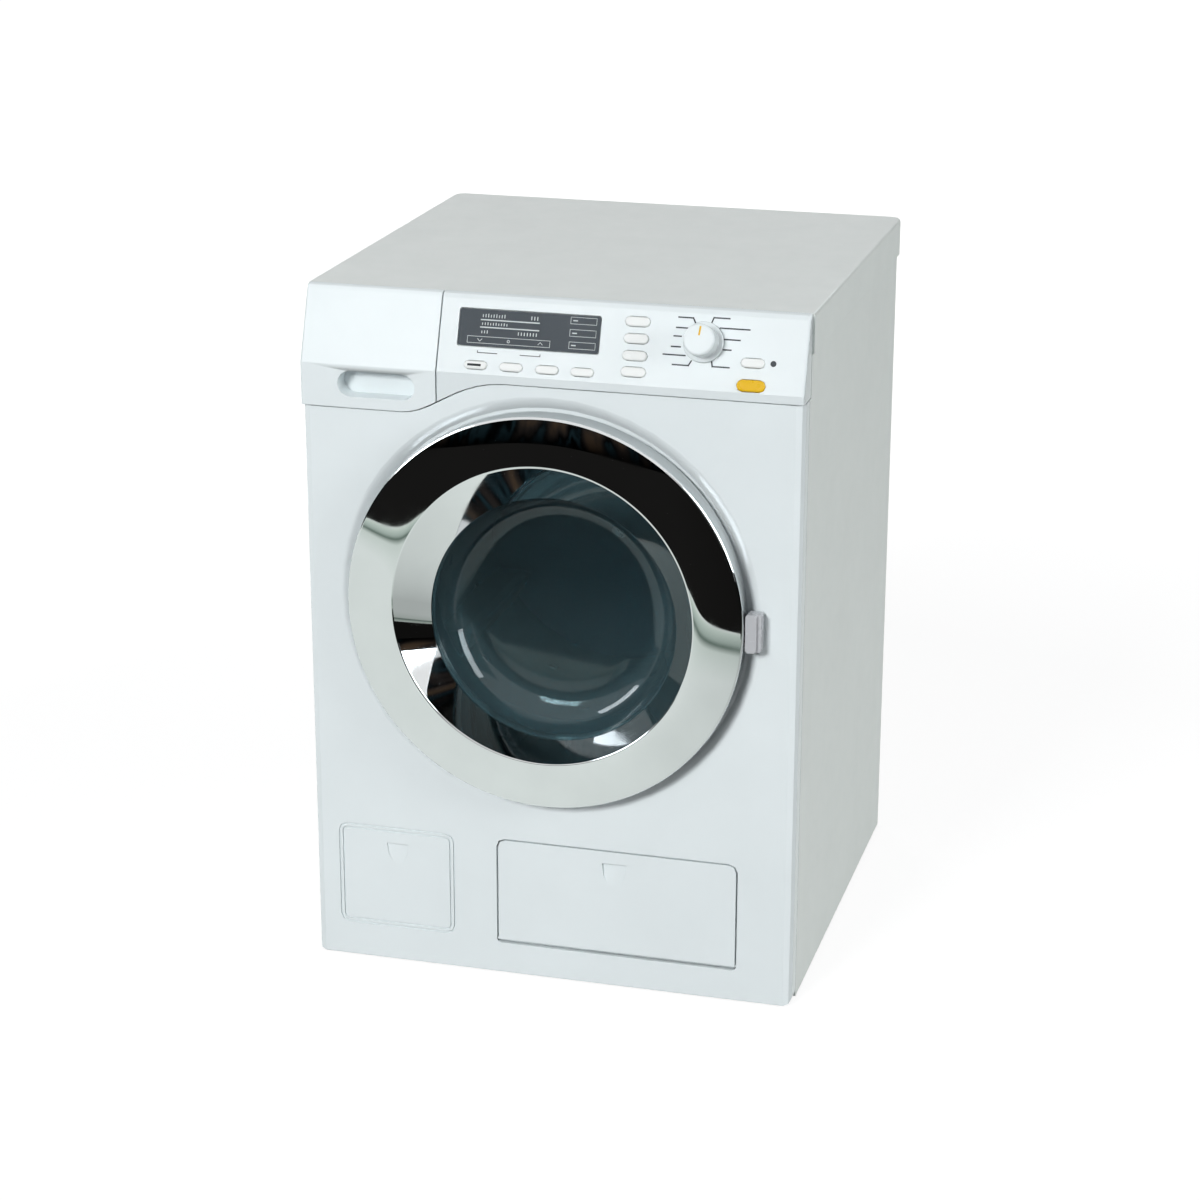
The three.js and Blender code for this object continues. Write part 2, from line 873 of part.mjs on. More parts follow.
// Slot in the dish floor that the door's hook passes, with room for its swing.
function latchSlot() {
  const halfHeight = latch.hookHeight / 2 + latch.slotSlack;
  return block(
    latch.hookX - latch.hookWidth / 2 - latch.slotSlack / 2,
    latch.hookX + latch.hookWidth / 2 + latch.slotSlack + latch.swing,
    0,
    collarBack + overrun,
    doorHeight - halfHeight - latch.barbDrop,
    doorHeight + halfHeight,
  );
}

function makeBodyShell() {
  const front = cabinet.seamDepth + gap;
  const shoulder = lidBottom - gap;
  const lipHalf = halfWidth + lid.overhang - lid.wall - gap;
  const lipBack = cabinet.depth + lid.overhang - lid.wall - gap;
  const lipTop = cabinet.height - lid.top - gap;
  const corner = cabinet.rearCorner;
  const outer = planOutline(halfWidth, front, cabinet.depth, 0, corner);
  const lip = planOutline(lipHalf, front, lipBack, 0, corner - cabinet.wall / 2);
  const hollow = planOutline(innerHalf, front - overrun, backInside, 0, corner - cabinet.wall);
  const slots = Array.from({ length: speaker.slots }, (_, i) => {
    const drop = (i - (speaker.slots - 1) / 2) * speaker.pitch;
    const reach = Math.sqrt((speaker.radius - speaker.rim) ** 2 - drop ** 2);
    const middle = speakerHeight + drop;
    return extrudeBack(
      roundedRect(-reach, reach, middle - speaker.slot / 2, middle + speaker.slot / 2, slotCorner),
      backInside - overrun,
      cabinet.depth + overrun,
    );
  });
  return cut(
    join(
      extrudeUp(outer, cabinet.edgeLift, shoulder),
      extrudeUp(lip, shoulder - cabinet.wall, lipTop),
    ),
    extrudeUp(hollow, -overrun, cabinet.height + overrun),
    aboveSweep(-fascia.split, -overrun, fasciaBack + gap),
    batteryLidBlank(gap, backInside - overrun, cabinet.depth + overrun),
    ...slots,
  );
}

function makeLid() {
  const half = halfWidth + lid.overhang;
  const back = cabinet.depth + lid.overhang;
  const front = fasciaBack + gap;
  const under = cabinet.height - lid.top;
  const innerSide = half - lid.wall;
  const innerBack = back - lid.wall;
  const outer = planOutline(half, front, back, 0, lid.corner);
  const inner = planOutline(innerSide, front - overrun, innerBack, 0, lid.corner - lid.wall);
  const rib = (y) =>
    block(-innerSide, innerSide, y, y + lid.ribWall, under - lid.ribDrop, under + gap);
  const shell = cut(
    extrudeUp(outer, lidBottom - lid.edgeRound, cabinet.height, lid.edgeRound),
    extrudeUp(inner, lidBottom - 2 * lid.edgeRound, under),
    block(-half - overrun, half + overrun, 0, back + overrun, 0, lidBottom),
  );
  const lipBackEdge = cabinet.depth + lid.overhang - lid.wall - gap - cabinet.wall;
  const between = (lipBackEdge - front) / (lidRibs + 1);
  const ribs = Array.from({ length: lidRibs }, (_, i) => rib(front + between * (i + 1)));
  const ribClear = innerHalf - gap;
  const trimmed = ribs.map((solid) =>
    common(solid, block(-ribClear, ribClear, 0, back, 0, cabinet.height)),
  );
  return join(shell, ...trimmed);
}

function makeBasePlate() {
  const half = innerHalf - gap;
  const front = cabinet.seamDepth + gap;
  const back = backInside - gap;
  const top = cabinet.edgeLift + base.thickness;
  const plan = planOutline(half, front, back, 0, cabinet.rearCorner - cabinet.wall);
  const inside = planOutline(half - base.rimWall, front + base.rimWall, back - base.rimWall, 0,
    cabinet.rearCorner - cabinet.wall);
  const feet = [-1, 1].flatMap((side) =>
    [front + base.footInset, back - base.footInset].map((y) =>
      turnAboutZ(
        [
          [0, 0],
          [base.footRadius - base.footHeight / 2, 0],
          [base.footRadius, base.footHeight / 2],
          [base.footRadius, top - gap],
          [0, top - gap],
        ],
        side * (half - base.footInset),
        y,
      ),
    ),
  );
  const plate = extrudeUp(plan, cabinet.edgeLift, cabinet.edgeLift + base.rimHeight);
  return join(cut(plate, extrudeUp(inside, top, cabinet.height)), ...feet);
}

// The hollow fascia strip between x0 and x1, cut along the S-shaped edge.
function fasciaShell(x0, x1) {
  const floor = drawerBottom - overrun;
  const outer = extrudeAcross(fasciaSection(0, fasciaBack, floor), -halfWidth, halfWidth, fascia.endRound);
  const inner = extrudeAcross(
    fasciaSection(fascia.wall, fasciaBack + overrun, floor - overrun),
    x0 + fascia.wall,
    x1 - fascia.wall,
  );
  const slice = block(x0, x1, -2 * fascia.proud, 2 * fasciaBack, floor, cabinet.height + overrun);
  return common(cut(common(outer, slice), inner), aboveSweep(0, -2 * fascia.proud, 2 * fasciaBack));
}

// Every push button's place and size: name, x, y, width, height, travel.
const buttons = [
  ...panel.rowXs.map((x, i) => ({
    name: `function_button_${i + 1}`,
    x,
    y: panel.rowY,
    width: panel.rowWidth,
    height: panel.rowHeight,
  })),
  ...panel.columnYs.map((y, i) => ({
    name: `option_button_${i + 1}`,
    x: panel.columnX,
    y,
    width: panel.columnWidth,
    height: panel.columnHeight,
  })),
  { name: "extra_button", x: panel.extraX, y: panel.extraY, width: panel.extraWidth, height: panel.extraHeight },
  { name: "door_button", x: panel.doorX, y: panel.doorY, width: panel.doorWidth, height: panel.doorHeight },
];

const windowOutline = (grow) =>
  roundedRect(
    panel.windowLeft - grow,
    panel.windowRight + grow,
    panel.windowLow - grow,
    panel.windowHigh + grow,
    panel.windowCorner,
  );

function makeControlPanel() {
  const through = -fascia.wall - overrun;
  const posts = panel.postPlaces.map(([x, y]) =>
    turnAboutZ(rod(panel.postRadius, -boardFront + gap, -fascia.wall / 2), x, y, postSides),
  );
  const holes = buttons.map((button) =>
    extrudeUp(pill(button.x, button.y, button.width, button.height, gap), through, overrun),
  );
  const openings = [
    ...holes,
    extrudeUp(windowOutline(gap), -panel.windowThickness - gap, overrun),
    extrudeUp(windowOutline(-panel.windowLap), through, overrun),
    turnAboutZ(rod(knob.stemRadius + knob.holeSlack, through, overrun), knob.x, knob.y),
  ];
  const shell = fasciaShell(drawer.edge + fascia.split / 2, halfWidth);
  return cut(join(shell, ...posts.map(ontoFascia)), ...openings.map(ontoFascia));
}

function makeWindow() {
  return extrudeUp(windowOutline(0), -panel.windowThickness, -panel.windowSink);
}

function makeDisplayCard() {
  const front = -fascia.wall - gap;
  return extrudeUp(windowOutline(0), front - panel.cardThickness, front);
}

// A pill-shaped key with the flange that holds it behind the panel.
function makeButton({ x, y, width, height }) {
  const flangeTop = -fascia.wall - gap;
  const flangeBottom = flangeTop - panel.flangeThickness;
  return join(
    extrudeUp(pill(x, y, width, height), flangeBottom, panel.buttonProud, panel.buttonRound),
    extrudeUp(pill(x, y, width, height, panel.buttonFlange), flangeBottom, flangeTop),
  );
}

// The yellow key's stem ends in a 45 degree face that bears on the latch bar's wedge.
function makeDoorButton(button) {
  const stem = block(
    button.x - panel.doorStemWidth / 2,
    button.x + panel.doorStemWidth / 2,
    button.y - panel.doorStemHeight / 2,
    button.y + panel.doorStemHeight / 2,
    -panel.doorStemLength - panel.doorStemHeight,
    -fascia.wall,
  );
  const inverse = fasciaMatrix.clone().invert();
  const slope = extrudeAcross(wedgeOutline(0), button.x - button.width, button.x + button.width);
  return cut(join(makeButton(button), stem), slope.transform(inverse.elements));
}

// The half plane below the 45 degree face where the stem meets the latch bar, moved down by drop.
function wedgeOutline(drop) {
  const reach = 2 * panel.doorStemLength;
  const [y, z] = [wedgePoint.y, wedgePoint.z - drop];
  return outline([[y - reach, z - reach], [y + reach, z - reach], [y + reach, z + reach]]);
}

function makeKeyMat() {
  const margin = panel.matMargin;
  const [z0, z1] = [-matBack, -panel.matFront];
  const strip = (x0, x1, y0, y1) => block(x0, x1, y0, y1, z0, z1);
  const columnLeft = panel.columnX - panel.columnWidth / 2 - margin;
  const columnRight = panel.columnX + panel.columnWidth / 2 + margin;
  const rowLow = panel.rowY - panel.rowHeight / 2 - margin;
  const rowHigh = panel.rowY + panel.rowHeight / 2 + margin;
  const columnHigh = panel.columnYs[0] + panel.columnHeight / 2 + margin;
  const rowLeft = panel.rowXs[0] - panel.rowWidth / 2 - margin;
  const extraRight = panel.extraX + panel.extraWidth / 2 + margin;
  return join(
    strip(rowLeft, columnRight, rowLow, rowHigh),
    strip(columnLeft, columnRight, rowLow, columnHigh),
    strip(columnLeft, extraRight, panel.bridgeLow, panel.bridgeHigh),
  );
}

function makeCircuitBoard() {
  const board = block(panel.boardLeft, panel.boardRight, panel.boardLow, panel.boardHigh, -boardBack,
    -boardFront);
  const notchHalf = panel.doorStemWidth / 2 + latch.slotSlack;
  return cut(
    board,
    block(
      panel.doorX - notchHalf,
      panel.doorX + notchHalf,
      panel.boardLow - overrun,
      panel.doorY + panel.doorStemHeight / 2 + latch.slotSlack,
      -boardBack - overrun,
      -boardFront + overrun,
    ),
    turnAboutZ(
      rod(knob.stemRadius + knob.holeSlack, -boardBack - overrun, -boardFront + overrun),
      knob.x,
      knob.y,
    ),
  );
}

// The rotary switch behind the board, with the bore that the knob's stem turns in.
function makeProgramSwitch() {
  const front = -boardBack - gap;
  return turnAboutZ(
    [
      [0, front - knob.switchDepth],
      [knob.switchRadius, front - knob.switchDepth],
      [knob.switchRadius, front],
      [knob.stemRadius + gap, front],
      [knob.stemRadius + gap, -knob.stemLength - gap],
      [0, -knob.stemLength - gap],
    ],
    knob.x,
    knob.y,
  );
}

// The knob in its own frame: skirt, cap and stem about z, its base on the fascia.
function makeKnob() {
  const round = knob.topRound;
  const skirt = knob.skirtHeight;
  return turnAboutZ(
    [
      [0, -knob.stemLength],
      [knob.stemRadius, -knob.stemLength],
      [knob.stemRadius, gap],
      [knob.skirtRadius, gap],
      [knob.skirtRadius, skirt - round / 2],
      [knob.skirtRadius - round / 2, skirt],
      [knob.capRadius + round / 4, skirt],
      [knob.capRadius, skirt + round / 4],
      [knob.capRadius, knob.height - round],
      [knob.capRadius - round / 4, knob.height - round / 4],
      [knob.capRadius - round, knob.height],
      [0, knob.height],
    ],
    0,
    0,
    knobSides,
  );
}

// The drawer's front with its finger recess, whose cup closes it off from behind.
function makeDrawerFront() {
  const right = drawer.edge - fascia.split / 2;
  const [x, z] = [drawer.gripCentreX, cabinet.height - drawer.gripCentreDrop];
  const cup = extrudeBack(
    pill(x, z, drawer.gripLength, drawer.gripHeight, drawer.gripWall, gripSteps),
    0,
    drawer.gripDepth + drawer.gripWall,
  );
  const recess = extrudeBack(
    pill(x, z, drawer.gripLength, drawer.gripHeight, 0, gripSteps),
    -2 * fascia.proud,
    drawer.gripDepth,
  );
  const shell = fasciaShell(-halfWidth, right);
  return cut(join(shell, common(cup, aboveSweep(0, -fascia.proud, fasciaBack))), recess);
}

// The tray: two open compartments behind the drawer front.
function makeDrawerTray() {
  const { x0, x1, y0, y1, z0, z1 } = trayBox;
  const wall = drawer.trayWall;
  const middle = x0 + (x1 - x0) * drawer.ribPlaceShare;
  return cut(
    block(x0, x1, y0, y1, z0, z1),
    block(x0 + wall, middle - wall / 2, y0 + wall, y1 - wall, z0 + wall, z1 + overrun),
    block(middle + wall / 2, x1 - wall, y0 + wall, y1 - wall, z0 + wall, z1 + overrun),
  );
}

// The box that the tray runs in, open towards the front.
function makeDrawerHousing() {
  const { x0, x1, y1, z0, z1 } = trayBox;
  const wall = drawer.housingWall;
  const front = fasciaBack + gap;
  const back = y1 + gap + wall;
  return cut(
    block(x0 - gap - wall, x1 + gap + wall, front, back, z0 - gap - wall, z1 + gap + wall),
    block(x0 - gap, x1 + gap, front - overrun, y1 + gap, z0 - gap, z1 + gap),
  );
}

// The door, in its own frame: its centre is the origin and the front shell's face is y = 0

// Turns a profile of [radius, depth, share] points about y; the share of the funnel's drop that
// each point carries moves it down, which makes the funnel eccentric.
function turnEccentric(points, sides) {
  const geometry = turned(points, sides);
  const place = geometry.attributes.position;
  for (let i = 0; i < place.count; i += 1) {
    const share = points[i % points.length][2];
    place.setZ(i, place.getZ(i) - share * door.rimDrop);
  }
  return toSolid(geometry);
}

// Radius and drop share of the funnel's face at a depth, a given distance behind that face.
function funnelPoint(depth, behind) {
  const run = door.rimDepth + door.crestFront;
  const fall = crestRadius - rimRadius;
  const share = Math.min(Math.max((depth + door.crestFront) / run, 0), 1);
  const radius = rimRadius + fall * (1 - share) + (behind * Math.hypot(run, fall)) / run;
  return [radius, depth, share];
}

// Spaces that the fixed hinge lugs need in the turning door.
function lugSpaces(y0, y1) {
  return [-1, 1].map((side) => {
    const middle = (side * (hinge.knuckleHeight + hinge.lugHeight + 2 * gap)) / 2;
    const halfHeight = hinge.lugHeight / 2 + gap;
    return block(
      -ringRadius - overrun,
      hingeX + hinge.eyeRadius + hinge.slotSlack,
      y0,
      y1,
      middle - halfHeight,
      middle + halfHeight,
    );
  });
}

function makeDoorRing() {
  const [outer, wall, round] = [ringRadius, door.ringWall, door.bandRound];
  const crest = crestRadius;
  const [front, top] = [-door.ringFront, -door.crestFront];
  const ring = turnEccentric(
    [
      [outer, door.ringBack, 0],
      [outer, front + round, 0],
      [outer - round, front, 0],
      [(outer + crest) / 2, (front + top) / 2 - round / 4, 0],
      [crest + round, top + round / 4, 0],
      [crest, top, 0],
      [crest - round / 2, top + round / 2, 0],
      [rimRadius, door.rimDepth, 1],
      funnelPoint(door.rimDepth, wall),
      funnelPoint(top + wall, wall),
      [outer - wall, front + wall, 0],
      [outer - wall, door.ringBack, 0],
      [outer, door.ringBack, 0],
    ],
    door.ringSides,
  );
  const knuckle = hinge.knuckleHeight / 2 + gap;
  return cut(
    ring,
    ...lugSpaces(hinge.notchFront, door.ringBack + overrun),
    turnAboutZ(rod(hinge.eyeRadius + gap, -knuckle, knuckle), hingeX, hinge.depth),
  );
}

// The frame behind the ring: flange, seat for the bowl, hinge knuckle and latch hook.
function makeDoorFrame() {
  const back = door.ringBack;
  const front = back - frame.thickness;
  const seat = bowlBack + gap;
  const clear = (depth, more = 0) => {
    const [radius, place, share] = funnelPoint(depth, door.ringWall + 2 * gap);
    return [radius + more, place, share];
  };
  const holdRadius = rimRadius + bowl.wall + bowl.rimWidth + gap;
  const body = turnEccentric(
    [
      [flangeRadius, front, 0],
      [flangeRadius, back, 0],
      clear(back, frame.wall),
      clear(dish.depth, frame.wall),
      [holdRadius + frame.wall, door.rimDepth, 1],
      [holdRadius + frame.wall, seat + frame.wall, 1],
      [rimRadius + bowl.wall + gap, seat + frame.wall, 1],
      [rimRadius + bowl.wall + gap, seat, 1],
      [holdRadius, seat, 1],
      [holdRadius, door.rimDepth, 1],
      clear(dish.depth),
      clear(front),
      [flangeRadius, front, 0],
    ],
    roundSides,
  );
  const halfKnuckle = hinge.knuckleHeight / 2;
  const knuckle = turnAboutZ(rod(hinge.eyeRadius, -halfKnuckle, halfKnuckle), hingeX, hinge.depth);
  const arm = block(hingeX, hingeX + hinge.armWidth, hinge.depth, (front + back) / 2, -halfKnuckle,
    halfKnuckle);
  const bore = turnAboutZ(
    rod(hinge.pinRadius + gap, -halfKnuckle - overrun, halfKnuckle + overrun),
    hingeX,
    hinge.depth,
  );
  const hookLeft = latch.hookX - latch.hookWidth / 2;
  const hookHalf = latch.hookHeight / 2;
  const hook = block(hookLeft, hookLeft + latch.hookWidth, (front + back) / 2, latch.hookReach, -hookHalf,
    hookHalf);
  const barb = block(hookLeft, hookLeft + latch.hookWidth, latch.hookReach - latch.barbLength,
    latch.hookReach, -hookHalf - latch.barbDrop, 0);
  return cut(
    join(cut(body, ...lugSpaces(front - overrun, back + overrun)), knuckle, arm, hook, barb),
    bore,
  );
}

// The clear bowl: a rim behind the funnel, a curved side and a flat bottom that lies a little higher.
function makeDoorGlass() {
  const flatShare = 1 - bowl.flatRise / door.rimDrop;
  const side = (grow) => {
    const curve = new THREE.QuadraticBezierCurve(
      new THREE.Vector2(rimRadius + grow, bowlFront),
      new THREE.Vector2(bowlFlatRadius + bowl.bulge + grow / 2, bowl.flatDepth - bowl.wall + grow),
      new THREE.Vector2(bowlFlatRadius, bowl.flatDepth - bowl.wall + grow),
    );
    return curve.getPoints(bowlSteps).map((point, i) => [
      point.x,
      point.y,
      1 + ((flatShare - 1) * i) / bowlSteps,
    ]);
  };
  const flange = rimRadius + bowl.wall + bowl.rimWidth;
  const back = side(bowl.wall).filter(([, depth]) => depth > bowlBack);
  return turnEccentric(
    [
      [0, bowl.flatDepth - bowl.wall, flatShare],
      ...side(0).reverse(),
      [flange, bowlFront, 1],
      [flange, bowlBack, 1],
      [rimRadius + bowl.wall, bowlBack, 1],
      ...back,
      [0, bowl.flatDepth, flatShare],
    ],
    roundSides,
  );
}

// The tab at the ring's right: a block with a lower strip along its outer edge.
function makeDoorGrip() {
  const x = ringRadius + gap;
  const front = -door.ringFront + grip.setback;
  const halfHeight = grip.height / 2;
  const tab = roundedRect(x, x + grip.length - grip.stepWidth, -halfHeight, halfHeight, grip.round, 1);
  const strip = roundedRect(x, x + grip.length, -halfHeight, halfHeight, grip.round, 1);
  return join(
    extrudeBack(tab, front, front + grip.depth),
    extrudeBack(strip, front + grip.step, front + grip.depth),
  );
}

// The bracket behind the dish floor, with two lugs that reach forward to the pin.
function makeHingeBracket() {
  const front = dishBack + gap;
  const halfHeight = hinge.plateHeight / 2;
  const plate = block(hingeX - hinge.plateOut, hingeX + hinge.plateIn, front, front + hinge.plate,
    -halfHeight, halfHeight);
  const lugs = [-1, 1].map((side) => {
    const middle = (side * (hinge.knuckleHeight + hinge.lugHeight + 2 * gap)) / 2;
    const [z0, z1] = [middle - hinge.lugHeight / 2, middle + hinge.lugHeight / 2];
    return join(
      turnAboutZ(rod(hinge.eyeRadius, z0, z1), hingeX, hinge.depth),
      block(hingeX - hinge.eyeRadius, hingeX + hinge.eyeRadius, hinge.depth, front + hinge.plate / 2,
        z0, z1),
    );
  });
  const bore = turnAboutZ(
    rod(hinge.pinRadius + gap, -halfHeight, halfHeight),
    hingeX,
    hinge.depth,
  );
  return cut(join(plate, ...lugs), bore);
}

function makeHingePin() {
  const reach = hinge.knuckleHeight / 2 + hinge.lugHeight + gap;
  return turnAboutZ(rod(hinge.pinRadius, -reach, reach), hingeX, hinge.depth);
}

// The latch bar: strip, wedge under the yellow button, nose under the door's hook, spring tab.
function makeLatchBar() {
  const [x, half] = [latch.barX, latch.barWidth / 2];
  const [front, back] = [latch.barFront, latch.barFront + latch.barDepth];
  const noseTop = doorHeight - latch.hookHeight / 2 - latch.barbDrop - latch.noseClear;
  const top = wedgePoint.z - wedgeDrop + (front - wedgePoint.y);
  const wedgeBack = front + latch.wedgeDepth;
  const wedge = outline([
    [front, top - latch.wedgeDepth],
    [back, top - latch.wedgeDepth],
    [wedgeBack, top],
    [wedgeBack, top + latch.wedgeDepth],
    [front, top],
  ]);
  const tabTop = latchSeatTop + 2 * gap + latch.springLength + latch.tabHeight;
  return join(
    block(x - half, x + half, front, back, noseTop - latch.noseHeight, top - latch.wedgeDepth / 2),
    extrudeAcross(wedge, x - half, x + half),
    block(latch.hookX - latch.hookWidth / 2, x, front, back, noseTop - latch.noseHeight, noseTop),
    block(x, springX + latch.pinRadius, front, back, tabTop - latch.tabHeight, tabTop),
    turnAboutZ(
      rod(latch.pinRadius, tabTop - latch.tabHeight - latch.pinLength, tabTop - gap),
      springX,
      springY,
      postSides,
    ),
  );
}

// A helix about z: its turns, radius and length come from the spring's sizes.
class Helix extends THREE.Curve {
  constructor(radius, length, turns) {
    super();
    Object.assign(this, { radius, length, turns });
  }

  getPoint(share, target = new THREE.Vector3()) {
    const angle = 2 * Math.PI * this.turns * share;
    return target.set(
      this.radius * Math.cos(angle),
      this.radius * Math.sin(angle),
      this.length * share,
    );
  }
}

function makeLatchSpring() {
  const wire = latch.springWire;
  const path = new Helix(
    latch.springRadius - wire,
    latch.springLength - 2 * wire,
    latch.springTurns,
  );
  const section = outline(arc(0, 0, wire, 0, 2 * Math.PI, wireSides).slice(0, wireSides));
  const geometry = new THREE.ExtrudeGeometry(section, {
    steps: latch.springTurns * stepsPerTurn,
    extrudePath: path,
  });
  return toSolid(geometry.translate(springX, springY, latchSeatTop + gap + wire));
}

// Soft ring between the front shell's collar and the tub, with one fold.
function makeGasket() {
  const inner = tubMouthRadius;
  const outer = openingRadius - gap;
  const step = collarBack + gap;
  const back = tub.front - gap;
  const fold = (back - step) / 2;
  return turnAboutY(
    [
      [inner + gasket.lip, dish.depth + gap],
      [outer, dish.depth + gap],
      [outer, step],
      [outer + dish.collarWall + gap, step],
      [outer + dish.collarWall + gap, back],
      [inner, back],
      [inner, back - gasket.wall],
      [outer - gasket.wall / 2, back - gasket.wall - gap],
      [outer - gasket.wall / 2, step + fold / 2],
      [inner + gasket.lip, step],
      [inner + gasket.lip, dish.depth + gap],
    ],
    0,
    0,
  );
}

// The drum and its drive, in their own frame: the drum's axis is y at x = 0, z = 0

function makeTub() {
  const { wall, front, hubRadius } = tub;
  const [radius, mouthRadius] = [tubRadius, tubMouthRadius];
  const body = turnAboutY(
    [
      [mouthRadius, front],
      [radius, front],
      [radius, tubBack],
      [hubRadius, tubBack],
      [hubRadius, tubHubBack],
      [bushRadius + gap, tubHubBack],
      [bushRadius + gap, tubBack - wall],
      [radius - wall, tubBack - wall],
      [radius - wall, front + wall],
      [mouthRadius, front + wall],
      [mouthRadius, front],
    ],
    0,
    0,
  );
  const posts = gearPlate.postAngles.map((angle) =>
    turnAboutY(
      rod(gearPlate.postRadius, tubBack - wall / 2, gearPlateFront - gap),
      postCircle * Math.cos(angle),
      postCircle * Math.sin(angle),
      postSides,
    ),
  );
  return join(body, ...posts);
}

function makeDrum() {
  const { wall, front, hubRadius } = drum;
  const [radius, mouthRadius] = [drumRadius, drumMouthRadius];
  const edge = wall / 2;
  const shell = turnAboutY(
    [
      [mouthRadius, front],
      [radius - edge, front],
      [radius, front + edge],
      [radius, drumBack - edge],
      [radius - edge, drumBack],
      [hubRadius, drumBack],
      [hubRadius, drumHubBack],
      [shaft.radius + gap, drumHubBack],
      [shaft.radius + gap, drumBack - wall],
      [radius - wall, drumBack - wall],
      [radius - wall, front + wall],
      [mouthRadius, front + wall],
      [mouthRadius, front],
    ],
    0,
    0,
  );
  const holes = [];
  for (let row = 0; row < drum.holeRows; row += 1) {
    const y = front + (drumLength * (row + 1)) / (drum.holeRows + 1);
    for (let i = 0; i < drum.holesRound; i += 1) {
      const profile = rod(drum.holeRadius, radius - 2 * wall, radius + overrun);
      const geometry = turned(profile, drum.holeSides).rotateZ(-Math.PI / 2);
      geometry.translate(0, y, 0).rotateY((2 * Math.PI * (i + row / 2)) / drum.holesRound);
      holes.push(toSolid(geometry));
    }
  }
  return cut(shell, ...holes);
}

// One lifter at the top of the drum: a tapered paddle whose foot follows the drum's wall.
function makeLifter() {
  const foot = drumRadius - drum.wall - gap;
  const spread = drum.lifterFoot / 2 / foot;
  const quarter = Math.PI / 2;
  const crest = drum.lifterCrest / 2;
  const crestHeight = foot - drum.lifterHeight;
  const section = outline([
    ...arc(0, 0, foot, quarter - spread, quarter + spread, arcSteps),
    ...arc(0, crestHeight + crest, crest, Math.PI, 2 * Math.PI),
  ]);
  return extrudeBack(
    section,
    drum.front + drum.wall + drum.lifterInset,
    drumBack - drum.wall - drum.lifterInset,
  );
}

function makeShaft() {
  return turnAboutY(
    rod(shaft.radius, drumBack - drum.wall - shaft.nose, gearPlateBack + shaft.tail),
    0,
    0,
    smallSides,
  );
}

function makeBush() {
  const front = tubBack - tub.wall - gap;
  return turnAboutY(
    [
      [shaft.radius + gap, front - shaft.collar],
      [bushRadius + shaft.collar, front - shaft.collar],
      [bushRadius + shaft.collar, front],
      [bushRadius, front],
      [bushRadius, tubHubBack + gap],
      [shaft.radius + gap, tubHubBack + gap],
      [shaft.radius + gap, front - shaft.collar],
    ],
    0,
    0,
    smallSides,
  );
}

// The outline of an involute gear whose first tooth points along turn.
function gearOutline(teeth, turn) {
  const pitch = (gears.module * teeth) / 2;
  const base = pitch * Math.cos(gears.pressureAngle);
  const tip = pitch + gears.module * gears.addendumShare;
  const root = pitch - gears.module * gears.dedendumShare;
  const involute = (angle) => Math.tan(angle) - angle;
  const thickness = (Math.PI * gears.module) / 2 - gears.backlash;
  const halfAngle = (radius) => {
    const at = Math.acos(Math.min(base / radius, 1));
    return thickness / (2 * pitch) + involute(gears.pressureAngle) - involute(at);
  };
  const flank = [
    [root, halfAngle(Math.max(root, base)) * gears.rootShare],
    [pitch, halfAngle(pitch)],
    [tip, halfAngle(tip)],
  ];
  const points = [];
  for (let tooth = 0; tooth < teeth; tooth += 1) {
    const middle = turn + (2 * Math.PI * tooth) / teeth;
    const place = ([radius, angle], side) => [
      radius * Math.cos(middle + side * angle),
      radius * Math.sin(middle + side * angle),
    ];
    points.push(...flank.map((point) => place(point, -1)));
    points.push(...[...flank].reverse().map((point) => place(point, 1)));
  }
  return outline(points);
}

// Turn of a gear that meshes with another one lying at an angle from it.
function meshedTurn(teeth, angle, drivingTeeth, drivingTurn) {
  const share = ((angle - drivingTurn) * drivingTeeth) / (2 * Math.PI);
  const offset = 1 / 2 - (share - Math.floor(share));
  return angle + Math.PI - (offset * 2 * Math.PI) / teeth;
}

// A moulded gear about y: teeth, a hub, a bore and a lighter web at the back.
function makeGear(teeth, turn, boreRadius) {
  const back = gearFront + gears.width;
  const rim = (gears.module * (teeth - gears.rimTeeth)) / 2;
  const body = join(
    extrudeBack(gearOutline(teeth, turn), gearFront, back),
    turnAboutY(rod(gears.hubRadius, gearFront, back + gears.hubLength), 0, 0, smallSides),
  );
  const web = turnAboutY(
    sleeve(gears.hubRadius, rim, back - gears.webDepth, back + overrun),
    0,
    0,
    webSides,
  );
  const bore = rod(boreRadius, gearFront - overrun, back + gears.hubLength + overrun);
  return cut(body, web, turnAboutY(bore, 0, 0, smallSides));
}

// The motor's pinion with the stub of its shaft.
function makePinion() {
  const back = gearFront + gears.width;
  return join(
    extrudeBack(gearOutline(gears.pinionTeeth, pinionTurn), gearFront, back),
    turnAboutY(
      rod(motor.shaftRadius, back - overrun, motorFront + motor.shaftLength),
      0,
      0,
      smallSides,
    ),
  );
}

function makeMotor() {
  const body = turnAboutY(
    [
      [motor.shaftRadius + gap, motorFront - motor.neckLength],
      [motor.neckRadius, motorFront - motor.neckLength],
      [motor.neckRadius, motorFront],
      [motor.radius, motorFront],
      [motor.radius, motorFront + motor.length],
      [0, motorFront + motor.length],
      [0, motorFront + motor.shaftLength + gap],
      [motor.shaftRadius + gap, motorFront + motor.shaftLength + gap],
      [motor.shaftRadius + gap, motorFront - motor.neckLength],
    ],
    0,
    0,
    motorSides,
  );
  const reach = motor.radius + overrun;
  return common(
    body,
    block(-reach, reach, 0, motorFront + motor.length + overrun, -motor.flat, motor.flat),
  );
}

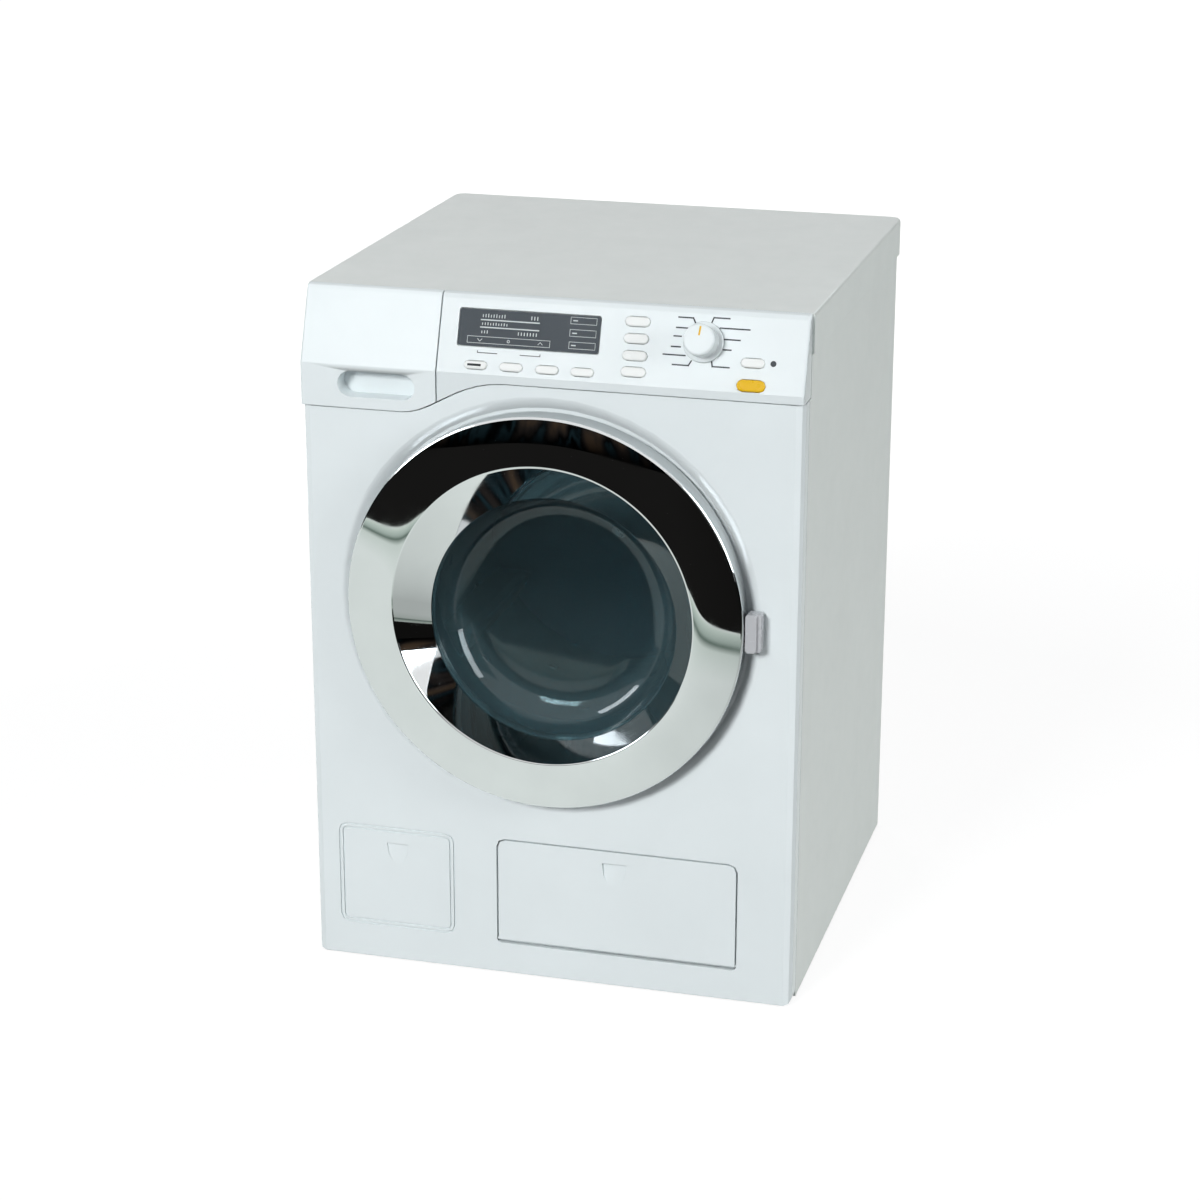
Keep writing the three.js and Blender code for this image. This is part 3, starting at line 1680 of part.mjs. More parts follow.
function makeIdlerPin() {
  const front = gearFront - gap;
  return turnAboutY(
    [
      [0, front - gears.pinHead],
      [gears.idlerPinRadius + gears.pinHead, front - gears.pinHead],
      [gears.idlerPinRadius + gears.pinHead, front],
      [gears.idlerPinRadius, front],
      [gears.idlerPinRadius, gearPlateBack + gears.pinHead],
      [0, gearPlateBack + gears.pinHead],
    ],
    0,
    0,
    smallSides,
  );
}

// The plate behind the gears: it hangs on the tub's posts and carries the idler pin and motor.
function makeGearPlate() {
  const margin = gearPlate.margin;
  const reach = postCircle * Math.cos(gearPlate.postAngles[0]);
  const plate = extrudeBack(
    roundedRect(
      -reach - margin,
      postCircle * Math.cos(gearPlate.postAngles[3]) + margin,
      pinionPlace.z - motor.flat - margin,
      reach + margin,
      margin,
    ),
    gearPlateFront,
    gearPlateBack,
  );
  const hole = (radius, x, z) =>
    turnAboutY(rod(radius, gearPlateFront - overrun, gearPlateBack + overrun), x, z, smallSides);
  return cut(
    plate,
    hole(shaft.radius + gap, 0, 0),
    hole(gears.idlerPinRadius + gap, idlerPlace.x, idlerPlace.z),
    hole(motor.neckRadius + gap, pinionPlace.x, pinionPlace.z),
  );
}

// The service flap: a plate with pins at its lower corners and a finger dimple.
// The flap's outline, drawn in by the inset, with tighter corners at the hinge so that it swings clear
function flapOutline(inset) {
  const [x0, x1] = [flap.left + inset, flap.right - inset];
  const [z0, z1] = [flap.bottom + inset, flap.top - inset];
  const [top, low] = [flap.corner - inset, flap.hingeCorner - inset];
  const quarter = Math.PI / 2;
  return outline([
    ...arc(x0 + low, z0 + low, low, 2 * quarter, 3 * quarter),
    ...arc(x1 - low, z0 + low, low, -quarter, 0),
    ...arc(x1 - top, z1 - top, top, 0, quarter),
    ...arc(x0 + top, z1 - top, top, quarter, 2 * quarter),
  ]);
}

function makeFlap() {
  const inset = flap.seam / 2;
  const [x0, x1] = [flap.left + inset, flap.right - inset];
  const round = flap.thickness / 2;
  const plate = extrudeBack(flapOutline(inset), 0, flap.thickness);
  const reach = x1 - x0 + overrun;
  const rounding = outline([
    ...arc(round, flapPinHeight, round, Math.PI, 2 * Math.PI),
    [flap.thickness, cabinet.height],
    [0, cabinet.height],
  ]);
  const body = common(plate, extrudeAcross(rounding, x0 - reach, x1 + reach));
  const pins = turnAboutX(
    rod(flap.pinRadius, x0 - flap.pinLength, x1 + flap.pinLength),
    flapPinDepth,
    flapPinHeight,
    pinSides,
  );
  return cut(
    join(body, pins),
    dimple(
      flap.dimpleX,
      flap.top - flap.dimpleTopDrop,
      flap.dimpleHalfWidth,
      flap.dimpleHeight,
      flap.dimpleDepth,
    ),
  );
}

// The pocket behind the flap, with a flange that seats on the front wall.
function makeServiceNiche() {
  const front = cabinet.frontWall + gap;
  const wall = flap.nicheWall;
  const inset = flap.seam / 2 + gap;
  const [x0, x1] = [flap.left + inset, flap.right - inset];
  const [z0, z1] = [flap.bottom + inset, flap.top - inset];
  const rect = (grow) => roundedRect(x0 - grow, x1 + grow, z0 - grow, z1 + grow, flap.corner);
  return cut(
    join(
      extrudeBack(rect(wall + flap.nicheFlange), front, front + wall),
      extrudeBack(rect(wall), front, front + flap.nicheDepth + wall),
    ),
    extrudeBack(rect(0), front - overrun, front + flap.nicheDepth),
  );
}

// The battery compartment: its cells lie across the machine, two in each of two rows

// The battery lid's outline, grown by a clearance, between two depths.
function batteryLidBlank(grow, y0, y1) {
  const { x, z0, z1 } = batteryBox;
  const tab = screwTab + grow;
  return join(
    extrudeBack(roundedRect(-x - grow, x + grow, z0 - grow, z1 + grow, battery.lidCorner), y0, y1),
    extrudeBack(
      roundedRect(-tab, tab, z1 - battery.lidCorner, z1 + 2 * screwTab + grow, battery.lidCorner),
      y0,
      y1,
    ),
  );
}

function makeBatteryLid() {
  const { x, z0, z1, z } = batteryBox;
  const inner = cabinet.depth - cabinet.wall;
  const reach = battery.tongueLength;
  const tongues = [-1, 1].map((side) => {
    const middle = side * battery.tongueReach;
    const [x0, x1] = [middle - battery.tongueWidth / 2, middle + battery.tongueWidth / 2];
    const [y0, y1] = [inner - gap - battery.wall, inner - gap];
    return join(
      block(x0, x1, y0, inner + overrun, z0 + gap, z0 + gap + battery.wall),
      block(x0, x1, y0, y1, z0 - reach, z0 + gap + battery.wall),
    );
  });
  const screwHole = turnAboutY(
    rod(battery.screwRadius + gap, inner - overrun, cabinet.depth + overrun),
    0,
    screwHeight,
    smallSides,
  );
  const headSeat = turnAboutY(
    rod(battery.screwHead + gap, cabinet.depth - battery.headSink, cabinet.depth + overrun),
    0,
    screwHeight,
    smallSides,
  );
  return cut(join(batteryLidBlank(0, inner, cabinet.depth), ...tongues), screwHole, headSeat);
}

function makeBatteryScrew() {
  const head = cabinet.depth - battery.headSink + gap / 2;
  return turnAboutY(
    [
      [0, head - battery.screwLength],
      [battery.screwRadius, head - battery.screwLength],
      [battery.screwRadius, head],
      [battery.screwHead, head],
      [battery.screwHead, cabinet.depth - gap],
      [0, cabinet.depth - gap],
    ],
    0,
    screwHeight,
    smallSides,
  );
}

function makeBatteryBox() {
  const { x, z0, z1, y0, y1 } = batteryBox;
  const wall = battery.wall;
  const half = battery.tongueWidth / 2 + gap;
  const boss = turnAboutY(
    rod(battery.bossRadius, y1 - 2 * battery.screwLength, y1),
    0,
    screwHeight,
    smallSides,
  );
  const bore = turnAboutY(
    rod(battery.screwRadius + gap, y1 - battery.screwLength - overrun, y1 + overrun),
    0,
    screwHeight,
    smallSides,
  );
  const notches = [-1, 1].map((side) => {
    const middle = side * battery.tongueReach;
    return block(middle - half, middle + half, y1 - wall - 2 * gap, y1 + overrun, 0, z0 + 2 * wall);
  });
  const foot = block(-battery.bossRadius, battery.bossRadius, y1 - 2 * battery.screwLength, y1,
    z1 - wall, screwHeight);
  const ears = [-1, 1].map((side) => {
    const [inner, outer] = [side * (x - wall), side * (x + battery.lidLap)];
    return block(Math.min(inner, outer), Math.max(inner, outer), y1 - wall, y1, z0 + wall, z1 - wall);
  });
  return cut(
    join(block(-x, x, y0, y1, z0, z1), boss, foot, ...ears),
    block(-x + wall, x - wall, y0 + wall, y1 + overrun, z0 + wall, z1 - wall),
    bore,
    ...notches,
  );
}

// A round cell along x, in its own frame, with the nub of its positive end.
function makeCell() {
  const half = (battery.length + battery.nubLength) / 2;
  return turnAboutX(
    [
      [0, -half],
      [battery.radius, -half],
      [battery.radius, half - battery.nubLength],
      [battery.nubRadius, half - battery.nubLength],
      [battery.nubRadius, half],
      [0, half],
    ],
    0,
    0,
    smallSides,
  );
}

// A sheet contact on an end wall of the battery box, with a bump for each cell.
function makeContact(side) {
  const { x, y0, z0, z1 } = batteryBox;
  const wall = battery.wall + gap;
  const outer = side * (x - wall);
  const inner = side * (x - wall - battery.contact);
  const middle = y0 + battery.wall + gap + battery.radius;
  return block(
    Math.min(inner, outer),
    Math.max(inner, outer),
    middle - 2 * battery.contactBump,
    middle + 2 * battery.contactBump,
    z0 + wall,
    z1 - wall,
  );
}

// The loudspeaker behind the grille: basket, cone and magnet about y.
function makeSpeaker() {
  const front = cabinet.depth - cabinet.wall - gap;
  const { radius, rim, magnetRadius, depth } = speaker;
  return turnAboutY(
    [
      [0, front - depth],
      [magnetRadius, front - depth],
      [magnetRadius, front - depth / 2],
      [radius - rim, front - rim],
      [radius, front - rim],
      [radius, front],
      [radius - rim, front],
      [magnetRadius / 2, front - depth / 2],
      [0, front - depth / 2 + rim],
    ],
    0,
    speakerHeight,
    speakerSides,
  );
}

// Putting the machine together

function makeCabinet() {
  const group = new THREE.Group();
  addPiece(group, "front_shell", makeFrontShell(), whiteGloss);
  addPiece(group, "body_shell", makeBodyShell(), whiteGloss);
  addPiece(group, "top_lid", makeLid(), whiteGloss);
  addPiece(group, "base_plate", makeBasePlate(), whiteInner);
  addPiece(group, "service_flap", makeFlap(), whiteGloss);
  addPiece(group, "service_niche", makeServiceNiche(), whiteInner);
  addPiece(group, "speaker", makeSpeaker(), darkPlastic);
  return group;
}

function makeFascia() {
  const group = new THREE.Group();
  addPiece(group, "control_panel", makeControlPanel(), whiteGloss);
  const slope = fasciaFrame();
  addPiece(slope, "display_window", makeWindow(), slateWindow);
  addPiece(slope, "display_card", makeDisplayCard(), darkPlastic);
  for (const button of buttons) {
    const isDoor = button.name === "door_button";
    const solid = isDoor ? makeDoorButton(button) : makeButton(button);
    addPiece(slope, button.name, solid, isDoor ? yellowButton : whiteGloss);
  }
  addPiece(slope, "key_mat", makeKeyMat(), greyRubber);
  addPiece(slope, "circuit_board", makeCircuitBoard(), boardGreen);
  addPiece(slope, "program_switch", makeProgramSwitch(), darkPlastic);
  addPiece(slope, "program_knob", makeKnob(), whiteGloss).position.set(knob.x, knob.y, 0);
  group.add(slope);
  return group;
}

function makeDrawer() {
  const group = new THREE.Group();
  addPiece(group, "drawer_front", makeDrawerFront(), whiteGloss);
  addPiece(group, "drawer_tray", makeDrawerTray(), whiteInner);
  addPiece(group, "drawer_housing", makeDrawerHousing(), whiteInner);
  return group;
}

function makeDoor() {
  const group = new THREE.Group();
  group.position.z = doorHeight;
  addPiece(group, "door_ring", makeDoorRing(), chromePlate);
  addPiece(group, "door_frame", makeDoorFrame(), dishGrey);
  addPiece(group, "door_glass", makeDoorGlass(), smokyClear);
  addPiece(group, "door_grip", makeDoorGrip(), dishGrey);
  addPiece(group, "hinge_bracket", makeHingeBracket(), greyPlastic);
  addPiece(group, "hinge_pin", makeHingePin(), bareSteel);
  addPiece(group, "door_gasket", makeGasket(), greyRubber);
  return group;
}

function makeLatch() {
  const group = new THREE.Group();
  addPiece(group, "latch_bar", makeLatchBar(), greyPlastic);
  addPiece(group, "latch_spring", makeLatchSpring(), bareSteel);
  return group;
}

function makeDrumUnit() {
  const group = new THREE.Group();
  group.position.z = doorHeight;
  addPiece(group, "tub", makeTub(), greyPlastic);
  addPiece(group, "drum", makeDrum(), greyPlastic);
  for (let i = 0; i < drum.lifters; i += 1) {
    const lifter = addPiece(group, `drum_lifter_${i + 1}`, makeLifter(), greyPlastic);
    lifter.rotation.y = (2 * Math.PI * i) / drum.lifters;
  }
  addPiece(group, "drum_shaft", makeShaft(), bareSteel);
  addPiece(group, "shaft_bush", makeBush(), gearPlastic);
  addPiece(group, "drum_gear", makeGear(gears.drumTeeth, 0, shaft.radius + gap), gearPlastic);
  const idler = makeGear(gears.idlerTeeth, idlerTurn, gears.idlerPinRadius + gap);
  addPiece(group, "idler_gear", idler, gearPlastic).position.set(idlerPlace.x, 0, idlerPlace.z);
  const pin = addPiece(group, "idler_pin", makeIdlerPin(), bareSteel);
  pin.position.set(idlerPlace.x, 0, idlerPlace.z);
  const pinion = addPiece(group, "motor_pinion", makePinion(), gearPlastic);
  pinion.position.set(pinionPlace.x, 0, pinionPlace.z);
  const drive = addPiece(group, "motor", makeMotor(), bareSteel);
  drive.position.set(pinionPlace.x, 0, pinionPlace.z);
  addPiece(group, "gear_plate", makeGearPlate(), greyPlastic);
  return group;
}

function makeBattery() {
  const group = new THREE.Group();
  const { y0, z0 } = batteryBox;
  addPiece(group, "battery_box", makeBatteryBox(), whiteInner);
  addPiece(group, "battery_lid", makeBatteryLid(), whiteGloss);
  addPiece(group, "battery_lid_screw", makeBatteryScrew(), bareSteel);
  addPiece(group, "contact_left", makeContact(-1), bareSteel);
  addPiece(group, "contact_right", makeContact(1), bareSteel);
  const step = battery.length + battery.nubLength + battery.between;
  const depth = y0 + battery.wall + gap + battery.radius;
  for (let row = 0; row < 2; row += 1) {
    const height = z0 + battery.wall + gap + battery.radius + row * (2 * battery.radius + battery.between);
    for (let i = 0; i < 2; i += 1) {
      const cell = addPiece(group, `battery_cell_${row * 2 + i + 1}`, makeCell(), cellSleeve);
      cell.position.set((i - 1 / 2) * step, depth, height);
      cell.rotation.z = row * Math.PI;
    }
  }
  return group;
}

// The whole machine, moved so that the middle of its depth is y = 0.
const machine = new THREE.Group();
machine.name = "toy_washing_machine";
machine.add(makeCabinet(), makeFascia(), makeDrawer(), makeDoor(), makeLatch(), makeDrumUnit(), makeBattery());
machine.position.y = (door.crestFront - cabinet.depth - lid.overhang) / 2;
const toyWashingMachine = new THREE.Group();
toyWashingMachine.add(machine);

export default toyWashingMachine;
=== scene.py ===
"""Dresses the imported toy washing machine: fine shapes, finishes, studio and camera."""

import logging
import math
from contextlib import contextmanager
from dataclasses import dataclass, field
from enum import Enum
from typing import Callable, Iterator, Sequence, Union

import bpy
from mathutils import Matrix, Vector


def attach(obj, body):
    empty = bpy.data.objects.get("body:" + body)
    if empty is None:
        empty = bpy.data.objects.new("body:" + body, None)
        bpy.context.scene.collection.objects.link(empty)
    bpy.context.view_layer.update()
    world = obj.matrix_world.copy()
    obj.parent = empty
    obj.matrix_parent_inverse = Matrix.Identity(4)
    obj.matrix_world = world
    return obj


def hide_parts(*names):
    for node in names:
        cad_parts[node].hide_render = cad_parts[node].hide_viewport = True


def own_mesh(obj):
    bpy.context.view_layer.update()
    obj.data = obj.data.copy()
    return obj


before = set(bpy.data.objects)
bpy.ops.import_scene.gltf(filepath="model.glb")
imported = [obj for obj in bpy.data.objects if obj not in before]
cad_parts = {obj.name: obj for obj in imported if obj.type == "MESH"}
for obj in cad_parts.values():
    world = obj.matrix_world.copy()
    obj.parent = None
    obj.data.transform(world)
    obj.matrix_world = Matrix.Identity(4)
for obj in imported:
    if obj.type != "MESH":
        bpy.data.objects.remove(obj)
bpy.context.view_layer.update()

MM = 0.001
LOG = logging.getLogger("toy_washing_machine")
Colour = tuple[float, float, float]
Place = tuple[float, float, float]
Pair = tuple[float, float]
Points = Sequence[Pair]
Quad = tuple[float, float, float, float]
Term = Union[bpy.types.NodeSocket, float, Sequence[float]]
Terms = dict[str | int, Term]

# Where the plane Y = 0 of the part's drawing lies in the frame; the door and the fascia are drawn from it.
FRONT = -87.35 * MM
# Height of the middle of the door's ring and of the dish round it.
DOOR_HEIGHT = 147.3 * MM
# Points closer than this are one point, and faces within this angle are one face.
MERGE = 0.002 * MM
FLAT = math.radians(0.6)
# How much more a large face weighs in the shading of its corners than a small one.
FACE_WEIGHT = 100
UNIT = (0.0, 1.0)
BLACK = (0.0, 0.0, 0.0, 1.0)
WHITE = (1.0, 1.0, 1.0, 1.0)


class Body(Enum):
    """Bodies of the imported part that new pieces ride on."""

    CABINET = "cabinet"
    DOOR = "door"
    DRUM = "drum"
    KNOB = "knob"
    DRAWER = "drawer"
    FLAP = "flap"
    START_KEY = "function_button_1"


@dataclass(frozen=True)
class Ripple:
    """Noise with its cells per metre and octaves, and how strongly and deeply it raises a surface."""

    scale: float
    detail: float = 3.0
    strength: float = 0.0
    depth: float = 0.0
    stretch: tuple[float, float, float] = (1, 1, 1)


class Grain(Enum):
    """Surface relief of a moulded or metal finish."""

    POLISHED = Ripple(2600.0, 3.0, 0.05, 0.02 * MM)
    SPARKED = Ripple(3400.0, 4.0, 0.35, 0.05 * MM)
    BRUSHED = Ripple(900.0, 3.0, 0.3, 0.04 * MM, (1, 12, 12))


def linear(red: int, green: int, blue: int) -> Colour:
    """Turns an sRGB colour of 0 to 255 into linear values.

    Args:
        red: red of the colour.
        green: green of the colour.
        blue: blue of the colour.

    Returns:
        The three linear values.
    """

    def one(value: int) -> float:
        """Linear value of one channel, by the sRGB formula."""
        share = value / 255
        return share / 12.92 if share <= 0.04045 else ((share + 0.055) / 1.055) ** 2.4

    return one(red), one(green), one(blue)


class Desk:
    """Lays out the nodes of one tree."""

    # Rays with fewer dull bounces than this have had none.
    one_bounce: float = 0.5

    def __init__(self, tree: bpy.types.NodeTree) -> None:
        """Starts with an empty tree.

        Args:
            tree: node tree of a material or of the world.
        """
        self.tree = tree
        self.tree.nodes.clear()

    def feed(self, term: Term, socket: bpy.types.NodeSocket) -> None:
        """Links an output to an input, or sets the input to a value.

        Args:
            term: output socket or value.
            socket: input socket.
        """
        if isinstance(term, bpy.types.NodeSocket):
            self.tree.links.new(term, socket)
        else:
            socket.default_value = term

    def add(self, kind: str, terms: Terms | None = None, **settings: object) -> bpy.types.Node:
        """Adds a node.

        Args:
            kind: type of the node.
            terms: what its inputs are fed with, by name or number.
            settings: values of the node itself, such as its operation.

        Returns:
            The node.
        """
        node = self.tree.nodes.new(kind)
        for key, value in settings.items():
            setattr(node, key, value)
        for key, term in (terms or {}).items():
            self.feed(term, node.inputs[key])
        return node

    def math(self, operation: str, *terms: Term) -> bpy.types.NodeSocket:
        """Works out a value by one operation."""
        return self.add("ShaderNodeMath", dict(enumerate(terms)), operation=operation).outputs[0]

    def span(self, value: Term, before: Pair, after: Pair) -> bpy.types.NodeSocket:
        """Maps a value from one range to another.

        Args:
            value: the value.
            before: start and end of its range.
            after: start and end of the range that it is mapped to.

        Returns:
            The mapped value.
        """
        limits = zip(("From Min", "From Max", "To Min", "To Max"), (*before, *after))
        return self.add("ShaderNodeMapRange", {"Value": value, **dict(limits)}).outputs["Result"]

    def ramp(self, value: Term, stops: Sequence[tuple[float, Colour]]) -> bpy.types.NodeSocket:
        """Turns a value into colours.

        Args:
            value: the value.
            stops: position and colour of each stop, in order.

        Returns:
            The colour.
        """
        node = self.add("ShaderNodeValToRGB", {"Fac": value})
        elements = node.color_ramp.elements
        for element, (position, colour) in zip(elements, (stops[0], stops[-1])):
            element.position = position
            element.color = (*colour, 1)
        for position, colour in stops[1:-1]:
            elements.new(position).color = (*colour, 1)
        return node.outputs["Color"]

    def mirror_rays(self) -> bpy.types.NodeSocket:
        """Tells the rays that mirrors send on from the camera from those that light dull faces.

        Returns:
            A value of 1 for such rays and else 0.
        """
        rays = self.add("ShaderNodeLightPath")
        direct = self.math("LESS_THAN", rays.outputs["Diffuse Depth"], self.one_bounce)
        return self.math("MULTIPLY", rays.outputs["Is Glossy Ray"], direct)


class NodeDesk(Desk):
    """Lays out the nodes of one material."""

    tone_stops: Pair = (0.3, 0.7)
    wipe_range: Pair = (0.35, 0.65)
    edge_samples: int = 4

    def __init__(self, name: str) -> None:
        """Starts a material with an output and a shader.

        Args:
            name: name of the material.
        """
        self.material = bpy.data.materials.new(name)
        self.material.use_nodes = True
        super().__init__(self.material.node_tree)
        self.shader = self.add("ShaderNodeBsdfPrincipled")
        self.output = self.add("ShaderNodeOutputMaterial", {"Surface": self.shader.outputs["BSDF"]})
        self.place = self.add("ShaderNodeTexCoord").outputs["Object"]

    def shade(self, terms: Terms) -> None:
        """Feeds the shader's inputs."""
        for key, term in terms.items():
            self.feed(term, self.shader.inputs[key])

    def along(self, axis: str) -> bpy.types.NodeSocket:
        """Place along one axis."""
        return self.add("ShaderNodeSeparateXYZ", {"Vector": self.place}).outputs[axis]

    def measure(self, operation: str, *ways: Sequence[float]) -> bpy.types.NodeSocket:
        """Length of the place, or its product with a direction."""
        terms = dict(enumerate((self.place, *ways)))
        return self.add("ShaderNodeVectorMath", terms, operation=operation).outputs["Value"]

    def noise(self, ripple: Ripple) -> bpy.types.NodeSocket:
        """Adds noise on object coordinates.

        Args:
            ripple: the noise.

        Returns:
            Its value.
        """
        mapping = self.add("ShaderNodeMapping", {"Vector": self.place, "Scale": ripple.stretch})
        terms = {"Vector": mapping.outputs["Vector"], "Scale": ripple.scale, "Detail": ripple.detail}
        return self.add("ShaderNodeTexNoise", terms).outputs["Fac"]

    def tones(self, ripple: Ripple, colour: Colour, drift: float) -> None:
        """Colours the shader, a little darker here and there.

        Args:
            ripple: noise that spreads the tones.
            colour: the lighter tone.
            drift: share by which the other tone is darker.
        """
        dark = tuple(value * (1 - drift) for value in colour)
        stops = tuple(zip(self.tone_stops, (dark, colour)))
        self.shade({"Base Color": self.ramp(self.noise(ripple), stops)})

    def roughness(self, ripple: Ripple, low: float, high: float) -> None:
        """Varies the shader's roughness.

        Args:
            ripple: noise that spreads it.
            low: lowest roughness.
            high: highest roughness.
        """
        self.shade({"Roughness": self.span(self.noise(ripple), self.wipe_range, (low, high))})

    def relief(self, ripples: Sequence[Ripple], edge: float = 0.0) -> None:
        """Raises the surface by noise, over softened edges.

        Args:
            ripples: noise of each layer.
            edge: radius in metres over which sharp edges are softened.
        """
        below = {}
        if edge:
            softener = self.add("ShaderNodeBevel", {"Radius": edge}, samples=self.edge_samples)
            below = {"Normal": softener.outputs["Normal"]}
        for ripple in ripples:
            terms = {"Height": self.noise(ripple), "Strength": ripple.strength, "Distance": ripple.depth}
            below = {"Normal": self.add("ShaderNodeBump", {**terms, **below}).outputs["Normal"]}
        self.shade(below)


@dataclass(frozen=True)
class Plastic:
    """Moulded plastic: a slight drift of tone, a fine relief and rounded edges."""

    name: str
    colour: Colour
    low: float = 0.18
    high: float = 0.26
    grain: Grain = Grain.POLISHED
    drift: float = 0.03
    edge: float = 0.35 * MM
    coat: float = 0.0
    coat_roughness: float = 0.06
    ior: float = 1.5
    scatter: float = 0.0
    scatter_reach: float = 2 * MM
    clouds: Ripple = Ripple(38.0, 4.0)
    wipes: Ripple = Ripple(160.0, 5.0)
    waves: Ripple = Ripple(55.0, 2.0, 0.12, 0.12 * MM)

    def build(self) -> bpy.types.Material:
        """Makes the material.

        Returns:
            The finished material.
        """
        desk = NodeDesk(self.name)
        desk.tones(self.clouds, self.colour, self.drift)
        desk.roughness(self.wipes, self.low, self.high)
        desk.relief((self.waves, self.grain.value), self.edge)
        desk.shade({"IOR": self.ior, "Coat Weight": self.coat, "Coat Roughness": self.coat_roughness})
        if self.scatter:
            desk.shade({
                "Subsurface Weight": self.scatter,
                "Subsurface Radius": (self.scatter_reach,) * 3,
                "Subsurface Scale": 1.0,
            })
        return desk.material


@dataclass(frozen=True)
class Metal:
    """Bright or brushed metal with faint wipe marks."""

    name: str
    colour: Colour
    low: float
    high: float
    grain: Grain = Grain.POLISHED
    drift: float = 0.06
    edge: float = 0.2 * MM
    clouds: Ripple = Ripple(45.0, 3.0)
    strokes: Ripple = Ripple(700.0, 4.0, 0.25, 0.03 * MM, (1, 18, 1))
    wipes: Ripple = Ripple(120.0, 6.0)
    waves: Ripple = Ripple(24.0, 1.0, 0.05, 0.1 * MM)

    def build(self) -> bpy.types.Material:
        """Makes the material.

        Returns:
            The finished material.
        """
        desk = NodeDesk(self.name)
        desk.tones(self.clouds, self.colour, self.drift)
        if self.grain is Grain.BRUSHED:
            desk.relief((self.strokes,), self.edge)
            desk.roughness(self.strokes, self.low, self.high)
        else:
            desk.relief((self.waves,))
            desk.roughness(self.wipes, self.low, self.high)
        desk.shade({"Metallic": 1.0})
        return desk.material


@dataclass(frozen=True)
class Clear:
    """Clear tinted plastic that is looked through, hazier near its rim than at its flat."""

    name: str
    colour: Colour
    roughness: float = 0.03
    roughness_shares: Pair = (0.6, 1.6)
    drift: float = 0.07
    ior: float = 1.42
    specular: float = 0.35
    haze: float = 0.12
    flat_haze_share: float = 0.35
    haze_ends: Pair = (-72.0 * MM, -68.0 * MM)
    clouds: Ripple = Ripple(30.0, 2.0)
    wipes: Ripple = Ripple(90.0, 5.0)
    waves: Ripple = Ripple(40.0, 1.0, 0.08, 0.1 * MM)

    def build(self) -> bpy.types.Material:
        """Makes the material.

        Returns:
            The finished material.
        """
        desk = NodeDesk(self.name)
        desk.tones(self.clouds, self.colour, self.drift)
        desk.roughness(self.wipes, *(self.roughness * share for share in self.roughness_shares))
        desk.relief((self.waves,))
        clear = (1 - self.haze, 1 - self.haze * self.flat_haze_share)
        desk.shade({
            "Transmission Weight": desk.span(desk.along("Y"), self.haze_ends, clear),
            "Specular IOR Level": self.specular,
            "IOR": self.ior,
        })
        return desk.material


@dataclass(frozen=True)
class Finishes:
    """All finishes of the machine, built once."""

    white: Plastic = Plastic("white_gloss", linear(233, 241, 243), 0.16, 0.24, coat=0.15)
    side: Plastic = Plastic("white_side", linear(234, 240, 237), 0.28, 0.38)
    panel: Plastic = Plastic("white_panel", linear(226, 234, 236), 0.14, 0.2, coat=0.2)
    key: Plastic = Plastic("white_key", linear(234, 237, 236), 0.2, 0.28, edge=0.0)
    inner: Plastic = Plastic("white_inner", linear(222, 226, 227), 0.4, 0.5, Grain.SPARKED)
    grey: Plastic = Plastic("grey_gloss", linear(189, 191, 195), 0.2, 0.3)
    plain_grey: Plastic = Plastic("grey_plastic", linear(205, 208, 210), 0.4, 0.5, Grain.SPARKED)
    yellow: Plastic = Plastic("yellow_gloss", linear(224, 178, 4), 0.24, 0.32, edge=0.0)
    slate: Plastic = Plastic(
        "slate_window", linear(52, 62, 70), 0.08, 0.14, drift=0.12, coat=0.3, edge=0.1 * MM)
    dark: Plastic = Plastic("dark_plastic", linear(46, 49, 52), 0.45, 0.6, Grain.SPARKED)
    rubber: Plastic = Plastic("grey_rubber", linear(176, 184, 186), 0.6, 0.75, Grain.SPARKED, drift=0.08)
    gear: Plastic = Plastic("gear_plastic", linear(238, 235, 222), 0.35, 0.45, scatter=0.2)
    board: Plastic = Plastic("board_green", linear(52, 112, 76), 0.3, 0.4, Grain.BRUSHED, drift=0.1)
    sleeve: Plastic = Plastic("cell_sleeve", linear(92, 120, 150), 0.25, 0.35, drift=0.08)
    drum: Plastic = Plastic("drum_metal", linear(112, 126, 134), 0.3, 0.42, Grain.BRUSHED, drift=0.1)
    lifter: Plastic = Plastic("drum_lifter", linear(128, 140, 147), 0.3, 0.4)
    print_dark: Plastic = Plastic("print_dark", linear(64, 69, 74), 0.4, 0.5, drift=0.06, edge=0.0)
    print_light: Plastic = Plastic("print_light", linear(206, 214, 214), 0.35, 0.45, drift=0.05, edge=0.0)
    chrome: Metal = Metal("bright_chrome", linear(226, 229, 230), 0.015, 0.045)
    steel: Metal = Metal("bare_steel", linear(182, 184, 186), 0.24, 0.36, Grain.BRUSHED)
    can: Metal = Metal("motor_can", linear(170, 172, 174), 0.3, 0.42, Grain.BRUSHED)
    smoky: Clear = Clear("smoky_clear", linear(136, 170, 178))


class Paints:
    """Gives each finish's material and remembers it."""

    def __init__(self) -> None:
        """Starts with no material made."""
        self.finishes = Finishes()
        self.made: dict[str, bpy.types.Material] = {}

    def get(self, name: str) -> bpy.types.Material:
        """Gives a finish's material, made at its first use.

        Args:
            name: finish's field name.

        Returns:
            The material.
        """
        if name not in self.made:
            self.made[name] = getattr(self.finishes, name).build()
        return self.made[name]

    def coat(self, piece: bpy.types.Object, name: str) -> None:
        """Puts one finish on a whole piece.

        Args:
            piece: piece or CAD node to dress.
            name: finish's field name.
        """
        piece.data.materials.clear()
        piece.data.materials.append(self.get(name))


